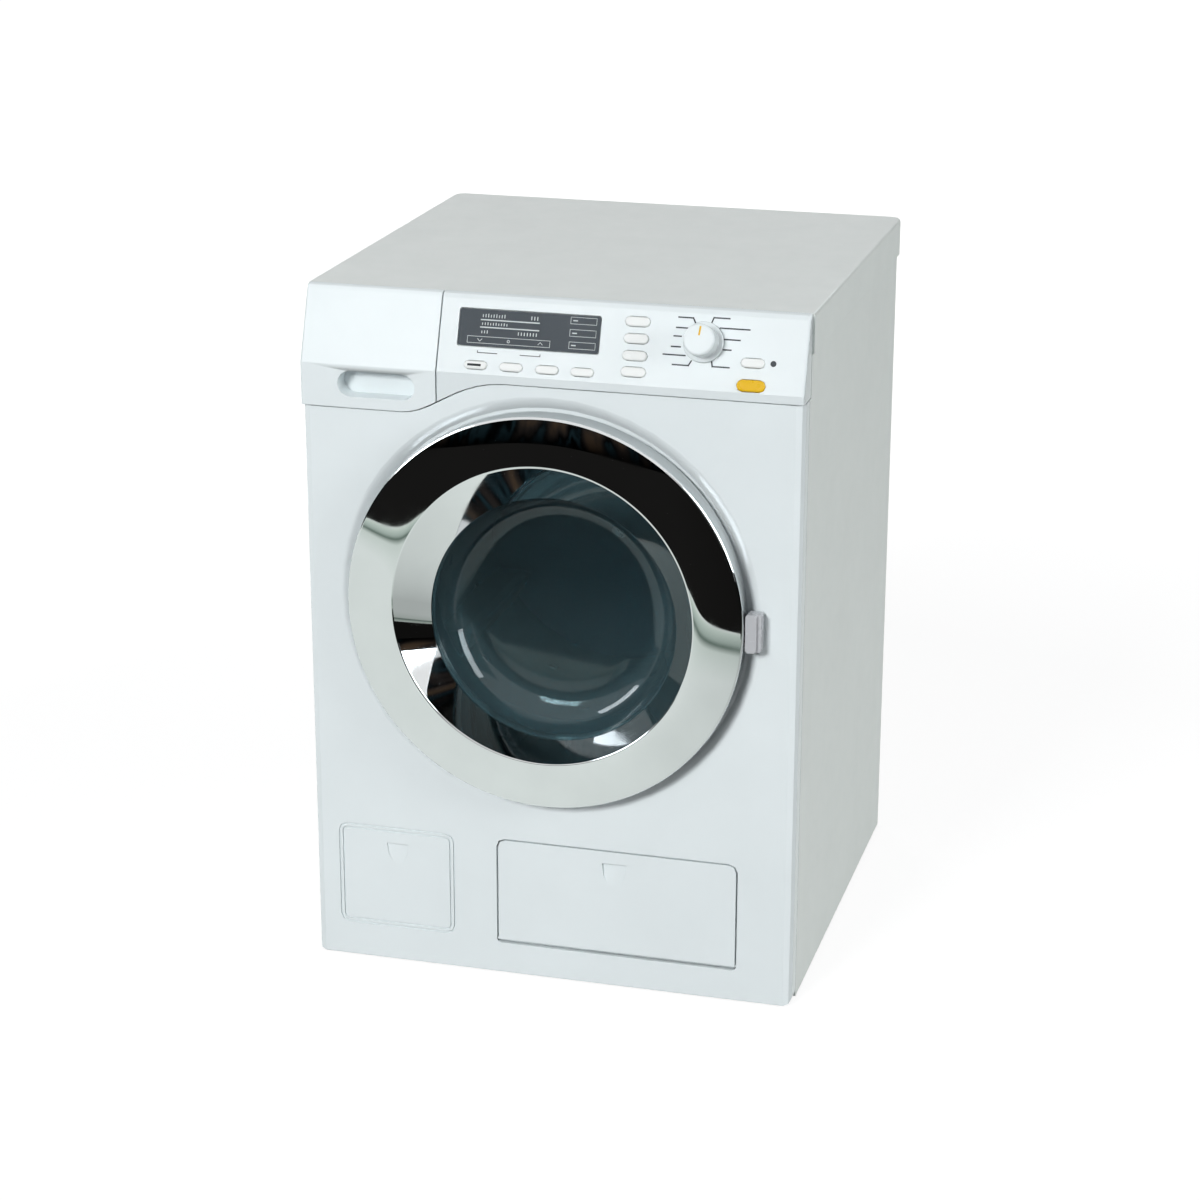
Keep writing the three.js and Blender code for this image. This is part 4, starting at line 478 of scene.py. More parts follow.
class Bench:
    """Hand modelling with operators: one piece held at a time."""

    @staticmethod
    def clear() -> None:
        """Leaves object mode's selection empty."""
        if bpy.context.object and bpy.context.object.mode != "OBJECT":
            bpy.ops.object.mode_set(mode="OBJECT")
        bpy.ops.object.select_all(action="DESELECT")

    @staticmethod
    def hold(piece: bpy.types.Object) -> None:
        """Selects one piece alone and makes it active.

        Args:
            piece: piece to hold.
        """
        Bench.clear()
        piece.select_set(True)
        bpy.context.view_layer.objects.active = piece

    @staticmethod
    def fix() -> None:
        """Puts the place of the piece that is held into its mesh."""
        bpy.ops.object.transform_apply(location=True, rotation=True, scale=True)

    @staticmethod
    def take(name: str) -> bpy.types.Object:
        """Names the piece that is held.

        Args:
            name: its name.

        Returns:
            The piece.
        """
        piece = bpy.context.object
        piece.name = piece.data.name = name
        return piece

    @staticmethod
    def copy(piece: bpy.types.Object, name: str) -> bpy.types.Object:
        """Copies a piece, with a mesh of its own.

        Args:
            piece: piece to copy.
            name: name of the copy.

        Returns:
            The copy.
        """
        Bench.hold(piece)
        bpy.ops.object.duplicate(linked=False)
        return Bench.take(name)

    @staticmethod
    @contextmanager
    def editing(piece: bpy.types.Object, mode: str = "VERT") -> Iterator[None]:
        """Holds a piece in edit mode with all of it selected.

        Args:
            piece: piece to edit.
            mode: VERT, EDGE or FACE.

        Yields:
            Nothing; edit mode ends afterwards.
        """
        Bench.hold(piece)
        bpy.ops.object.mode_set(mode="EDIT")
        bpy.ops.mesh.select_mode(type=mode)
        bpy.ops.mesh.select_all(action="SELECT")
        yield
        bpy.ops.object.mode_set(mode="OBJECT")

    @staticmethod
    @contextmanager
    def at_rims(piece: bpy.types.Object) -> Iterator[None]:
        """Holds a piece in edit mode with its open rims selected.

        Args:
            piece: piece to edit.

        Yields:
            Nothing; edit mode ends afterwards.
        """
        with Bench.editing(piece, "EDGE"):
            bpy.ops.mesh.select_all(action="DESELECT")
            bpy.ops.mesh.select_non_manifold()
            yield

    @staticmethod
    def pick(piece: bpy.types.Object, wanted: Callable[[Vector], bool]) -> None:
        """Selects in edit mode the points whose place a test accepts.

        Args:
            piece: piece in edit mode.
            wanted: test of one point's place.
        """
        bpy.ops.mesh.select_mode(type="VERT")
        bpy.ops.mesh.select_all(action="DESELECT")
        bpy.ops.object.mode_set(mode="OBJECT")
        for vertex in piece.data.vertices:
            vertex.select = wanted(vertex.co)
        bpy.ops.object.mode_set(mode="EDIT")

    @staticmethod
    def lift(height: float) -> None:
        """Extrudes what is selected upwards."""
        bpy.ops.mesh.extrude_region_move(TRANSFORM_OT_translate={"value": (0, 0, height)})

    @staticmethod
    def settle(piece: bpy.types.Object) -> None:
        """Puts a piece's place into its mesh and turns its faces outwards.

        Args:
            piece: piece to settle.
        """
        Bench.hold(piece)
        Bench.fix()
        with Bench.editing(piece):
            bpy.ops.mesh.remove_doubles(threshold=MERGE)
            bpy.ops.mesh.normals_make_consistent(inside=False)

    @staticmethod
    def modify(piece: bpy.types.Object, kind: str, **options: object) -> None:
        """Adds a modifier with its options and applies it.

        Args:
            piece: piece to change.
            kind: type of the modifier.
            options: values of the modifier.
        """
        Bench.hold(piece)
        bpy.ops.object.modifier_add(type=kind)
        modifier = piece.modifiers[-1]
        for key, value in options.items():
            setattr(modifier, key, value)
        bpy.ops.object.modifier_apply(modifier=modifier.name)

    @staticmethod
    def smooth(piece: bpy.types.Object, degrees: float) -> None:
        """Smooths a piece's shading up to an angle, with flat faces kept flat.

        Args:
            piece: piece to shade.
            degrees: angle past which an edge stays sharp.
        """
        Bench.hold(piece)
        bpy.ops.object.shade_smooth_by_angle(angle=math.radians(degrees))
        Bench.modify(piece, "WEIGHTED_NORMAL", keep_sharp=True, weight=FACE_WEIGHT)

    @staticmethod
    def seat(piece: bpy.types.Object, body: Body, slot: str, *nodes: str) -> bpy.types.Object:
        """Lets a finished piece ride, logs it and hides what it stands for.

        Args:
            piece: finished piece.
            body: body it rides on.
            slot: material slot; not used.
            nodes: CAD nodes that it stands for.

        Returns:
            The piece.
        """
        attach(piece, body.value)
        if nodes:
            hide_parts(*nodes)
        LOG.info("%s: %d faces on %s", piece.name, len(piece.data.polygons), body.value)
        return piece

    @staticmethod
    def hoop(name: str, sides: int, stations: Sequence[tuple[float, Vector]],
             tilts: Sequence[float] = ()) -> bpy.types.Object:
        """Draws a circle along a path of radii, as an eccentric turned form.

        Args:
            name: name of the piece.
            sides: points of the circle.
            stations: radius and centre of each circle, in metres; the circles face Y.
            tilts: how far each circle leans back about X, in degrees; none where it is left out.

        Returns:
            The open tube of all circles.
        """
        Bench.clear()
        radius, centre = stations[0]
        leans = tilts or [0.0] * len(stations)
        upright = (math.pi / 2 - math.radians(leans[0]), 0, 0)
        bpy.ops.mesh.primitive_circle_add(vertices=sides, radius=radius, location=centre, rotation=upright)
        piece = Bench.take(name)
        Bench.fix()
        with Bench.editing(piece):
            for step, (size, place) in enumerate(stations[1:]):
                last, before = stations[step]
                bpy.ops.mesh.extrude_region_move(TRANSFORM_OT_translate={"value": place - before})
                bpy.ops.transform.resize(value=(size / last,) * 3, center_override=place)
                turn = leans[step + 1] - leans[step]
                if turn:
                    bpy.ops.transform.rotate(value=math.radians(turn), orient_axis="X", center_override=place)
        return piece


@dataclass(frozen=True)
class Cover:
    """Merged and smoothly shaded copy that stands for a CAD node."""

    node: str
    name: str
    body: Body
    finish: str
    slot: str = "white_gloss"
    degrees: float = 32.0

    def make(self, paints: Paints) -> bpy.types.Object:
        """Makes the copy, seats it and dresses it.

        Args:
            paints: finishes to dress it with.

        Returns:
            The copy.
        """
        copy = Bench.copy(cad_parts[self.node], self.name)
        copy.parent = None
        for key in list(copy.keys()):
            del copy[key]
        with Bench.editing(copy):
            bpy.ops.mesh.remove_doubles(threshold=MERGE)
            bpy.ops.mesh.dissolve_limited(angle_limit=FLAT)
        Bench.smooth(copy, self.degrees)
        paints.coat(copy, self.finish)
        return Bench.seat(copy, self.body, self.slot, self.node)


def fillet(start: Vector, corner: Vector, end: Vector, radius: float, steps: int) -> list[Vector]:
    """Rounds a corner of a profile.

    Args:
        start: point before the corner.
        corner: the corner.
        end: point after the corner.
        radius: radius of the round.
        steps: steps along it.

    Returns:
        Points along the round.
    """
    into, out = (start - corner).normalized(), (end - corner).normalized()
    half = into.angle(out) / 2
    reach = radius / math.tan(half)
    first, last = corner + into * reach, corner + out * reach
    centre = corner + (into + out).normalized() * radius / math.sin(half)
    points = []
    for step in range(steps + 1):
        blend = first.lerp(last, step / steps) - centre
        points.append(centre + blend.normalized() * radius)
    return points


@dataclass
class Door:
    """Bright ring with its funnel, clear bowl, grip and the frame behind."""

    paints: Paints
    centre: float = DOOR_HEIGHT
    ring_radius: float = 74 * MM
    ring_front: float = 8 * MM
    ring_back: float = 0.6 * MM
    ring_sides: int = 200
    ring_degrees: float = 40.0
    wall: float = 1.5 * MM
    crest_radius: float = 56.1 * MM
    crest_front: float = 10 * MM
    crest_wall_share: float = 1.6
    crown_radius: float = 61.5 * MM
    crown_steps: int = 18
    crown_ends: tuple[int, int] = (2, 16)
    edge_round: float = 1.1 * MM
    crest_round: float = 0.9 * MM
    round_steps: int = 8
    rim_radius: float = 46.3 * MM
    rim_depth: float = 2.3 * MM
    rim_drop: float = 4.87 * MM
    rim_shift: float = 0.88 * MM
    funnel_shares: tuple[float, ...] = (0.2, 0.4, 0.6, 0.8, 1.0)
    bowl_wall: float = 1.6 * MM
    bowl_flat_radius: float = 32.5 * MM
    bowl_flat_depth: float = 20.2 * MM
    bowl_flat_share: float = 0.55
    bowl_flat_shares: tuple[float, ...] = (0.02, 0.35, 0.7, 0.92)
    bowl_lean: float = 4.4
    bowl_bulge: float = 9.5 * MM
    bowl_steps: int = 14
    bowl_sides: int = 144
    bowl_degrees: float = 50.0
    bowl_flange: float = 1.0 * MM
    gap: float = 0.3 * MM
    lug_span: Pair = (7.5 * MM, 11.3 * MM)
    lug_depths: Pair = (-6.7 * MM, 1.6 * MM)
    hinge_x: float = -70.2 * MM
    notch_width: float = 7.3 * MM
    notch_shift: float = -1.15 * MM

    def station(self, point: Vector, share: float) -> tuple[float, Vector]:
        """Circle of a profile point.

        Args:
            point: radius and depth of the point.
            share: share of the rim's drop and shift that its centre has.

        Returns:
            Radius and centre of the circle.
        """
        height = self.centre - self.rim_drop * share
        return point.x, Vector((self.rim_shift * share, point.y + FRONT, height))

    def ring_station(self, point: Vector) -> tuple[float, Vector]:
        """Circle of a point of the ring, whose centre drops only down the funnel.

        Args:
            point: radius and depth of the point.

        Returns:
            Radius and centre of the circle.
        """
        if point.x >= self.crest_radius + self.wall * 2 or point.y <= -self.crest_front:
            return self.station(point, 0.0)
        share = (point.y + self.crest_front) / (self.rim_depth + self.crest_front)
        return self.station(point, min(max(share, 0.0), 1.0))

    def ring_profile(self) -> list[Vector]:
        """Draws the ring's outline, from its outer back edge round to the same edge inside.

        Returns:
            Radius and depth of its points.
        """
        back = Vector((self.ring_radius, self.ring_back))
        edge = Vector((self.ring_radius, -self.ring_front))
        crown = Vector((self.crown_radius, -self.crest_front))
        crest = Vector((self.crest_radius, -self.crest_front))
        rim = Vector((self.rim_radius, self.rim_depth))
        along = (rim - crest).normalized() * self.wall
        behind = Vector((along.y, -along.x))
        points = [back, back.lerp(edge, 0.5), *fillet(back, edge, crown, self.edge_round, self.round_steps)]
        first, last = self.crown_ends
        for step in range(first, last + 1):
            share = step / self.crown_steps
            points.append(edge.lerp(crown, share).lerp(crown.lerp(crest, share), share))
        points += fillet(crown, crest, rim, self.crest_round, self.round_steps)
        points += [crest.lerp(rim, share) for share in self.funnel_shares]
        points += [rim + behind, crest + behind * self.crest_wall_share]
        points += [edge + Vector((-self.wall, self.wall))]
        return points + [Vector((self.ring_radius - self.wall, self.ring_back))]

    def make_ring(self) -> None:
        """Models the ring as one closed wall with notches for the hinge lugs."""
        stations = [self.ring_station(point) for point in self.ring_profile()]
        ring = Bench.hoop("bright_ring", self.ring_sides, stations)
        with Bench.at_rims(ring):
            bpy.ops.mesh.bridge_edge_loops()
        Bench.settle(ring)
        for side in (-1, 1):
            self.cut_notch(ring, side)
        Bench.smooth(ring, self.ring_degrees)
        self.paints.coat(ring, "chrome")
        Bench.seat(ring, Body.DOOR, "bright_chrome", "door_ring")

    def cut_notch(self, ring: bpy.types.Object, side: int) -> None:
        """Cuts one lug notch into the ring's hinge side.

        Args:
            ring: ring to cut.
            side: -1 for the lower lug, 1 for the upper one.
        """
        low, high = self.lug_span
        front, back = self.lug_depths
        height = self.centre + side * (low + high) / 2
        Bench.clear()
        bpy.ops.mesh.primitive_cube_add(
            size=1, location=(self.hinge_x + self.notch_shift, FRONT + (front + back) / 2, height))
        tool = bpy.context.object
        tool.scale = (self.notch_width, back - front, high - low)
        Bench.settle(tool)
        Bench.modify(ring, "BOOLEAN", operation="DIFFERENCE", object=tool, solver="EXACT")
        bpy.data.objects.remove(tool)

    def bowl_side(self, grow: float) -> list[tuple[Vector, float]]:
        """Profile of the bowl's side from its rim to its flat, with drop shares.

        Args:
            grow: wall added to the inner face.

        Returns:
            Points with the drop share of each.
        """
        front = self.rim_depth + self.bowl_wall - self.gap
        depth = self.bowl_flat_depth - self.bowl_wall + grow
        start = Vector((self.rim_radius + grow, front))
        pull = Vector((self.bowl_flat_radius + self.bowl_bulge + grow / 2, depth))
        end = Vector((self.bowl_flat_radius, depth))
        found = []
        for step in range(self.bowl_steps + 1):
            share = step / self.bowl_steps
            point = start.lerp(pull, share).lerp(pull.lerp(end, share), share)
            found.append((point, 1 + (self.bowl_flat_share - 1) * share))
        return found

    def bowl_flat(self, depth: float) -> list[tuple[Vector, float]]:
        """Profile of the bowl's flat from near its middle outwards, with drop shares."""
        radii = [self.bowl_flat_radius * share for share in self.bowl_flat_shares]
        return [(Vector((radius, depth)), self.bowl_flat_share) for radius in radii]

    def make_bowl(self) -> None:
        """Models the clear bowl: an eccentric dish with a flange round its rim."""
        inner, outer = self.bowl_side(0.0), self.bowl_side(self.bowl_wall)
        front = self.rim_depth + self.bowl_wall - self.gap
        back = front + self.bowl_wall
        flange = self.rim_radius + self.bowl_wall + self.bowl_flange
        profile = self.bowl_flat(inner[-1][0].y) + inner[::-1]
        profile += [(Vector((flange, front)), 1.0), (Vector((flange, back)), 1.0)]
        profile += [item for item in outer if item[0].y > back + self.gap]
        profile += self.bowl_flat(outer[-1][0].y)[::-1]
        leans = [self.bowl_lean * (1 - share) / (1 - self.bowl_flat_share) for _, share in profile]
        stations = [self.station(point, share) for point, share in profile]
        bowl = Bench.hoop("clear_bowl", self.bowl_sides, stations, leans)
        with Bench.at_rims(bowl):
            bpy.ops.mesh.fill_holes(sides=0)
        Bench.settle(bowl)
        Bench.smooth(bowl, self.bowl_degrees)
        self.paints.coat(bowl, "smoky")
        Bench.seat(bowl, Body.DOOR, "smoky_clear", "door_glass")

    def build(self) -> None:
        """Makes the door's pieces in order."""
        self.make_ring()
        self.make_bowl()
        Cover("door_grip", "grip_tab", Body.DOOR, "grey", "grey_gloss").make(self.paints)
        Cover("door_frame", "door_back", Body.DOOR, "plain_grey", "grey_gloss").make(self.paints)


@dataclass(frozen=True)
class FasciaPlane:
    """The tilted face that keys, window and print lie on; u to the right, v up it, w out of it."""

    tilt: float = 20.1
    front: float = -1.0 * MM
    crease: float = 233.5 * MM

    def place(self, piece: bpy.types.Object) -> bpy.types.Object:
        """Moves a piece drawn in u, v, w onto the face.

        Args:
            piece: piece drawn with u along X, v along Y and w along Z.

        Returns:
            The same piece, its place in its mesh.
        """
        piece.rotation_euler = (math.radians(90 - self.tilt), 0, 0)
        piece.location = (0, self.front + FRONT, self.crease)
        Bench.settle(piece)
        return piece


@dataclass
class Print:
    """A set of printed strips, drawn in millimetres on the fascia's plane."""

    name: str
    base: float
    thickness: float = 0.045
    round_sides: int = 32
    parts: list[bpy.types.Object] = field(default_factory=list)

    def strip(self, start: Pair, end: Pair, width: float) -> None:
        """Adds one straight strip, which reaches half its width past both ends.

        Args:
            start: u and v of its start.
            end: u and v of its end.
            width: its width.
        """
        (u0, v0), (u1, v1) = start, end
        Bench.clear()
        bpy.ops.mesh.primitive_plane_add(size=1)
        piece = bpy.context.object
        piece.scale = ((math.hypot(u1 - u0, v1 - v0) + width) * MM, width * MM, 1)
        piece.rotation_euler = (0, 0, math.atan2(v1 - v0, u1 - u0))
        piece.location = ((u0 + u1) / 2 * MM, (v0 + v1) / 2 * MM, self.base * MM)
        Bench.fix()
        with Bench.editing(piece, "FACE"):
            Bench.lift(self.thickness * MM)
        self.parts.append(piece)

    def path(self, points: Points, width: float, closed: bool = False) -> None:
        """Adds strips along a path.

        Args:
            points: corners of the path.
            width: width of the strips.
            closed: whether the path returns to its start.
        """
        ends = list(points[1:]) + ([points[0]] if closed else [])
        for start, end in zip(points, ends):
            self.strip(start, end, width)

    def box(self, u0: float, u1: float, v0: float, v1: float, width: float) -> None:
        """Adds a rectangular outline."""
        self.path([(u0, v0), (u1, v0), (u1, v1), (u0, v1)], width, closed=True)

    def ring(self, u: float, v: float, inner: float, outer: float) -> None:
        """Adds a round mark.

        Args:
            u: u of its middle.
            v: v of its middle.
            inner: inner radius, or zero for a disc.
            outer: outer radius.
        """
        Bench.clear()
        bpy.ops.mesh.primitive_circle_add(
            vertices=self.round_sides, radius=outer * MM, fill_type="NGON",
            location=(u * MM, v * MM, self.base * MM))
        piece = bpy.context.object
        Bench.fix()
        with Bench.editing(piece, "FACE"):
            if inner:
                bpy.ops.mesh.inset(thickness=(outer - inner) * MM)
                bpy.ops.mesh.delete(type="FACE")
                bpy.ops.mesh.select_all(action="SELECT")
            Bench.lift(self.thickness * MM)
        self.parts.append(piece)

    def finish(self, plane: FasciaPlane) -> bpy.types.Object:
        """Joins the marks and lays them on the fascia.

        Args:
            plane: the fascia's plane.

        Returns:
            The joined print.
        """
        Bench.hold(self.parts[0])
        for part in self.parts:
            part.select_set(True)
        bpy.ops.object.join()
        return plane.place(Bench.take(self.name))


@dataclass(frozen=True)
class KeyCap:
    """Pill-shaped cap of the push keys of one size, in millimetres."""

    width: float
    height: float
    finish: str
    slot: str
    places: tuple[tuple[str, float, float], ...]
    grow: float = 0.16
    back: float = -1.2
    top: float = 0.8
    rim: float = 0.72
    rim_steps: int = 5
    sides: int = 52
    degrees: float = 50.0

    def model(self) -> bpy.types.Object:
        """Models one cap round its own middle.

        Returns:
            The cap, drawn in u, v and w.
        """
        Bench.clear()
        bpy.ops.mesh.primitive_circle_add(
            vertices=self.sides, radius=(self.height / 2 + self.grow) * MM, fill_type="NGON",
            location=(0, 0, self.back * MM), rotation=(0, 0, math.pi / self.sides))
        cap = bpy.context.object
        Bench.fix()
        for side in (-1, 1):
            with Bench.editing(cap):
                Bench.pick(cap, lambda place: place.x * side > 0)
                bpy.ops.transform.translate(value=(side * (self.width - self.height) / 2 * MM, 0, 0))
        with Bench.editing(cap, "FACE"):
            Bench.lift((self.top - self.back) * MM)
            bpy.ops.mesh.bevel(offset=self.rim * MM, segments=self.rim_steps, affect="EDGES")
        return cap

    def build(self, paints: Paints, plane: FasciaPlane) -> None:
        """Sets a copy of the cap over each of its keys.

        Args:
            paints: finishes to dress the caps with.
            plane: the fascia's plane.
        """
        first = self.model()
        for key, u, v in self.places:
            cap = Bench.copy(first, key.replace("button", "cap"))
            cap.location = (u * MM, v * MM, 0)
            Bench.settle(cap)
            plane.place(cap)
            Bench.smooth(cap, self.degrees)
            for piece in (cap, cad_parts[key]):
                paints.coat(piece, self.finish)
            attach(cap, key)
            LOG.info("%s: cap over %s", cap.name, key)
        bpy.data.objects.remove(first)


@dataclass
class Fascia:
    """Control panel with its window, keys and plain print marks, in millimetres on its plane."""

    paints: Paints
    plane: FasciaPlane = field(default_factory=FasciaPlane)
    caps: tuple[KeyCap, ...] = (
        KeyCap(8.2, 2.7, "key", "white_gloss", (
            ("function_button_1", -26.4, 3.2), ("function_button_2", -13.3, 3.2),
            ("function_button_3", -0.1, 3.2), ("function_button_4", 12.8, 3.2))),
        KeyCap(8.8, 3.2, "key", "white_gloss", (
            ("option_button_1", 31.2, 22.3), ("option_button_2", 31.2, 16.3),
            ("option_button_3", 31.2, 10.3), ("option_button_4", 31.2, 4.6))),
        KeyCap(8.2, 3.0, "key", "white_gloss", (("extra_button", 73.4, 10.5),)),
        KeyCap(9.9, 3.9, "yellow", "yellow_gloss", (("door_button", 73.4, 2.6),)),
    )
    leader_line: float = 0.5
    leaders: tuple[Points, ...] = (
        ((45.7, 24.85), (50.9, 24.85), (51.75, 23.3)),
        ((45.2, 21.2), (49.1, 21.2)),
        ((44.6, 18.2), (47.1, 18.2)),
        ((44.0, 14.5), (47.1, 14.5)),
        ((41.3, 11.6), (49.1, 11.6)),
        ((44.9, 8.2), (50.6, 8.2), (51.5, 9.85)),
        ((57.6, 23.75), (58.2, 25.4), (63.8, 25.4)),
        ((60.7, 21.95), (71.2, 21.95)),
        ((62.4, 18.1), (68.1, 18.1)),
        ((62.4, 14.5), (65.2, 14.5)),
        ((58.7, 10.3), (59.1, 8.4), (65.1, 8.4)),
    )
    brackets: tuple[Points, ...] = (
        ((-26.2, 8.3), (-26.2, 7.7), (-19.0, 7.7)),
        ((-10.4, 7.7), (-3.15, 7.7), (-3.15, 8.3)),
    )
    bracket_line: float = 0.3
    symbol: Quad = (80.6, 10.75, 0.0, 1.05)
    window_base: float = -0.1
    outlines: tuple[Quad, ...] = (
        (6.95, 16.4, 20.05, 22.4),
        (6.95, 16.45, 15.65, 18.05),
        (7.0, 16.55, 11.3, 13.65),
        (-30.4, 0.0, 11.1, 13.45),
    )
    outline_line: float = 0.17
    rules: tuple[Points, ...] = (
        ((-25.9, 19.45), (-4.5, 19.45)),
        ((-25.9, 16.8), (-4.5, 16.8)),
        ((8.0, 21.2), (9.3, 21.2)),
        ((8.0, 16.75), (9.3, 16.75)),
        ((8.0, 12.45), (9.3, 12.45)),
    )
    rule_line: float = 0.42
    arrows: tuple[Points, ...] = (
        ((-26.6, 12.6), (-25.8, 11.8), (-25.0, 12.6)),
        ((-4.3, 11.9), (-3.5, 12.7), (-2.7, 11.9)),
    )
    arrow_line: float = 0.2
    dial: Quad = (-15.2, 12.25, 0.32, 0.55)
    bar_rows: tuple[tuple[float, float, int, int], ...] = (
        (21.0, 0.5, 9, 3),
        (18.1, 0.35, 10, 0),
        (15.2, 0.42, 3, 7),
    )
    left_bars: tuple[float, float, float] = (-25.3, 1.0, 0.3)
    right_bars: tuple[float, float, float] = (-5.2, -1.1, 0.34)
    bar_growth: tuple[float, float, float] = (0.4, 0.7, 1.0)
    slot_base: float = 0.78
    slot_ends: Points = ((-28.9, 3.2), (-24.7, 3.2))
    slot_line: float = 0.8

    def make_print(self) -> None:
        """Prints the leader lines round the knob and the brackets over the keys."""
        marks = Print("panel_print", 0.0)
        for points in self.leaders:
            marks.path(points, self.leader_line)
        for points in self.brackets:
            marks.path(points, self.bracket_line)
        marks.ring(*self.symbol)
        self.lay(marks, "print_dark", Body.CABINET, "slate_window")

    def make_display(self) -> None:
        """Prints plain outlines, rules, arrows and level bars on the dark window."""
        marks = Print("display_print", self.window_base)
        for outline in self.outlines:
            marks.box(*outline, self.outline_line)
        for points in self.rules:
            marks.path(points, self.rule_line)
        for points in self.arrows:
            marks.path(points, self.arrow_line)
        marks.ring(*self.dial)
        for row in self.bar_rows:
            self.level_bars(marks, *row)
        self.lay(marks, "print_light", Body.CABINET, "white_gloss")

    def level_bars(self, marks: Print, v: float, reach: float, left: int, right: int) -> None:
        """Adds a row of small bars from the left, which grow in threes, and one from the right.

        Args:
            marks: print to add to.
            v: height of the row.
            reach: how far its bars reach above and below that height.
            left: bars from the left.
            right: bars from the right.
        """
        first, pitch, width = self.left_bars
        for number in range(left):
            u = first + number * pitch
            growth = self.bar_growth[number % len(self.bar_growth)]
            marks.strip((u, v - reach), (u, v + reach * growth), width)
        first, pitch, width = self.right_bars
        for number in range(right):
            u = first + number * pitch
            marks.strip((u, v - reach), (u, v + reach), width)

    def make_slot(self) -> None:
        """Sets the dark lamp slot into the start key."""
        slot = Print("start_slot", self.slot_base)
        slot.strip(*self.slot_ends, self.slot_line)
        self.lay(slot, "dark", Body.START_KEY, "slate_window")

    def lay(self, marks: Print, finish: str, body: Body, slot: str) -> None:
        """Lays a finished print on the fascia.

        Args:
            marks: the print.
            finish: field name of its finish.
            body: body it rides on.
            slot: material slot; passed on to Bench.seat, but not used.
        """
        piece = marks.finish(self.plane)
        self.paints.coat(piece, finish)
        Bench.seat(piece, body, slot)

    def build(self) -> None:
        """Makes the fascia's pieces in order."""
        Cover("control_panel", "fascia_panel", Body.CABINET, "panel").make(self.paints)
        Cover("display_window", "window_pane", Body.CABINET, "slate", "slate_window").make(self.paints)
        for cap in self.caps:
            cap.build(self.paints, self.plane)
        self.make_print()
        self.make_display()
        self.make_slot()


@dataclass
class Knob:
    """Round programme knob; its pointer's ends are in millimetres from its middle, all else in metres."""

    paints: Paints
    plane: FasciaPlane = field(default_factory=FasciaPlane)
    place: Pair = (55.4 * MM, 16.6 * MM)
    foot_radius: float = 2.1 * MM
    skirt_radius: float = 7.2 * MM
    skirt_height: float = 1.6 * MM
    skirt_round: float = 0.55 * MM
    skirt_steps: int = 5
    neck_rise: float = 0.25 * MM
    neck_round: float = 0.3 * MM
    neck_steps: int = 4
    cap_radius: float = 5.6 * MM
    cap_round: float = 0.9 * MM
    cap_steps: int = 8
    cap_shares: tuple[float, ...] = (0.4, 0.7, 0.9, 1.0)
    pole_radius: float = 0.05 * MM
    height: float = 9.0 * MM
    lift: float = 0.3 * MM
    sides: int = 96
    degrees: float = 50.0
    pointer_ends: Points = ((0.1, 1.7), (0.35, 4.3))
    pointer_line: float = 0.62
    pointer_thickness: float = 0.06

    def profile(self) -> list[Vector]:
        """Draws the knob's outline, from its foot to its middle.

        Returns:
            Radius and height of its points.
        """
        foot = Vector((self.skirt_radius, self.lift))
        skirt = Vector((self.skirt_radius, self.skirt_height))
        neck = Vector((self.cap_radius, self.skirt_height + self.neck_rise))
        rim = Vector((self.cap_radius, self.height))
        middle = Vector((self.pole_radius, self.height))
        points = [Vector((self.foot_radius, self.lift)), foot]
        points += fillet(foot, skirt, neck, self.skirt_round, self.skirt_steps)
        points += fillet(skirt, neck, rim, self.neck_round, self.neck_steps)
        points += [neck.lerp(rim, 0.5)]
        points += fillet(neck, rim, middle, self.cap_round, self.cap_steps)
        return points + [rim.lerp(middle, share) for share in self.cap_shares]

    def make_cap(self) -> None:
        """Turns the knob from its outline."""
        stations = [(point.x, Vector((0, -point.y, 0))) for point in self.profile()]
        cap = Bench.hoop("knob_cap", self.sides, stations)
        with Bench.at_rims(cap):
            bpy.ops.mesh.fill_holes(sides=0)
        cap.rotation_euler = (math.radians(-90), 0, 0)
        cap.location = (*self.place, 0)
        Bench.settle(cap)
        self.plane.place(cap)
        Bench.smooth(cap, self.degrees)
        self.paints.coat(cap, "panel")
        Bench.seat(cap, Body.KNOB, "white_gloss", "program_knob")

    def make_pointer(self) -> None:
        """Lays the yellow pointer on the cap."""
        u, v = (length / MM for length in self.place)
        mark = Print("knob_pointer", self.height / MM, self.pointer_thickness)
        mark.strip(*((u + right, v + up) for right, up in self.pointer_ends), self.pointer_line)
        piece = mark.finish(self.plane)
        self.paints.coat(piece, "yellow")
        Bench.seat(piece, Body.KNOB, "yellow_gloss")

    def build(self) -> None:
        """Makes the knob's pieces."""
        self.make_cap()
        self.make_pointer()


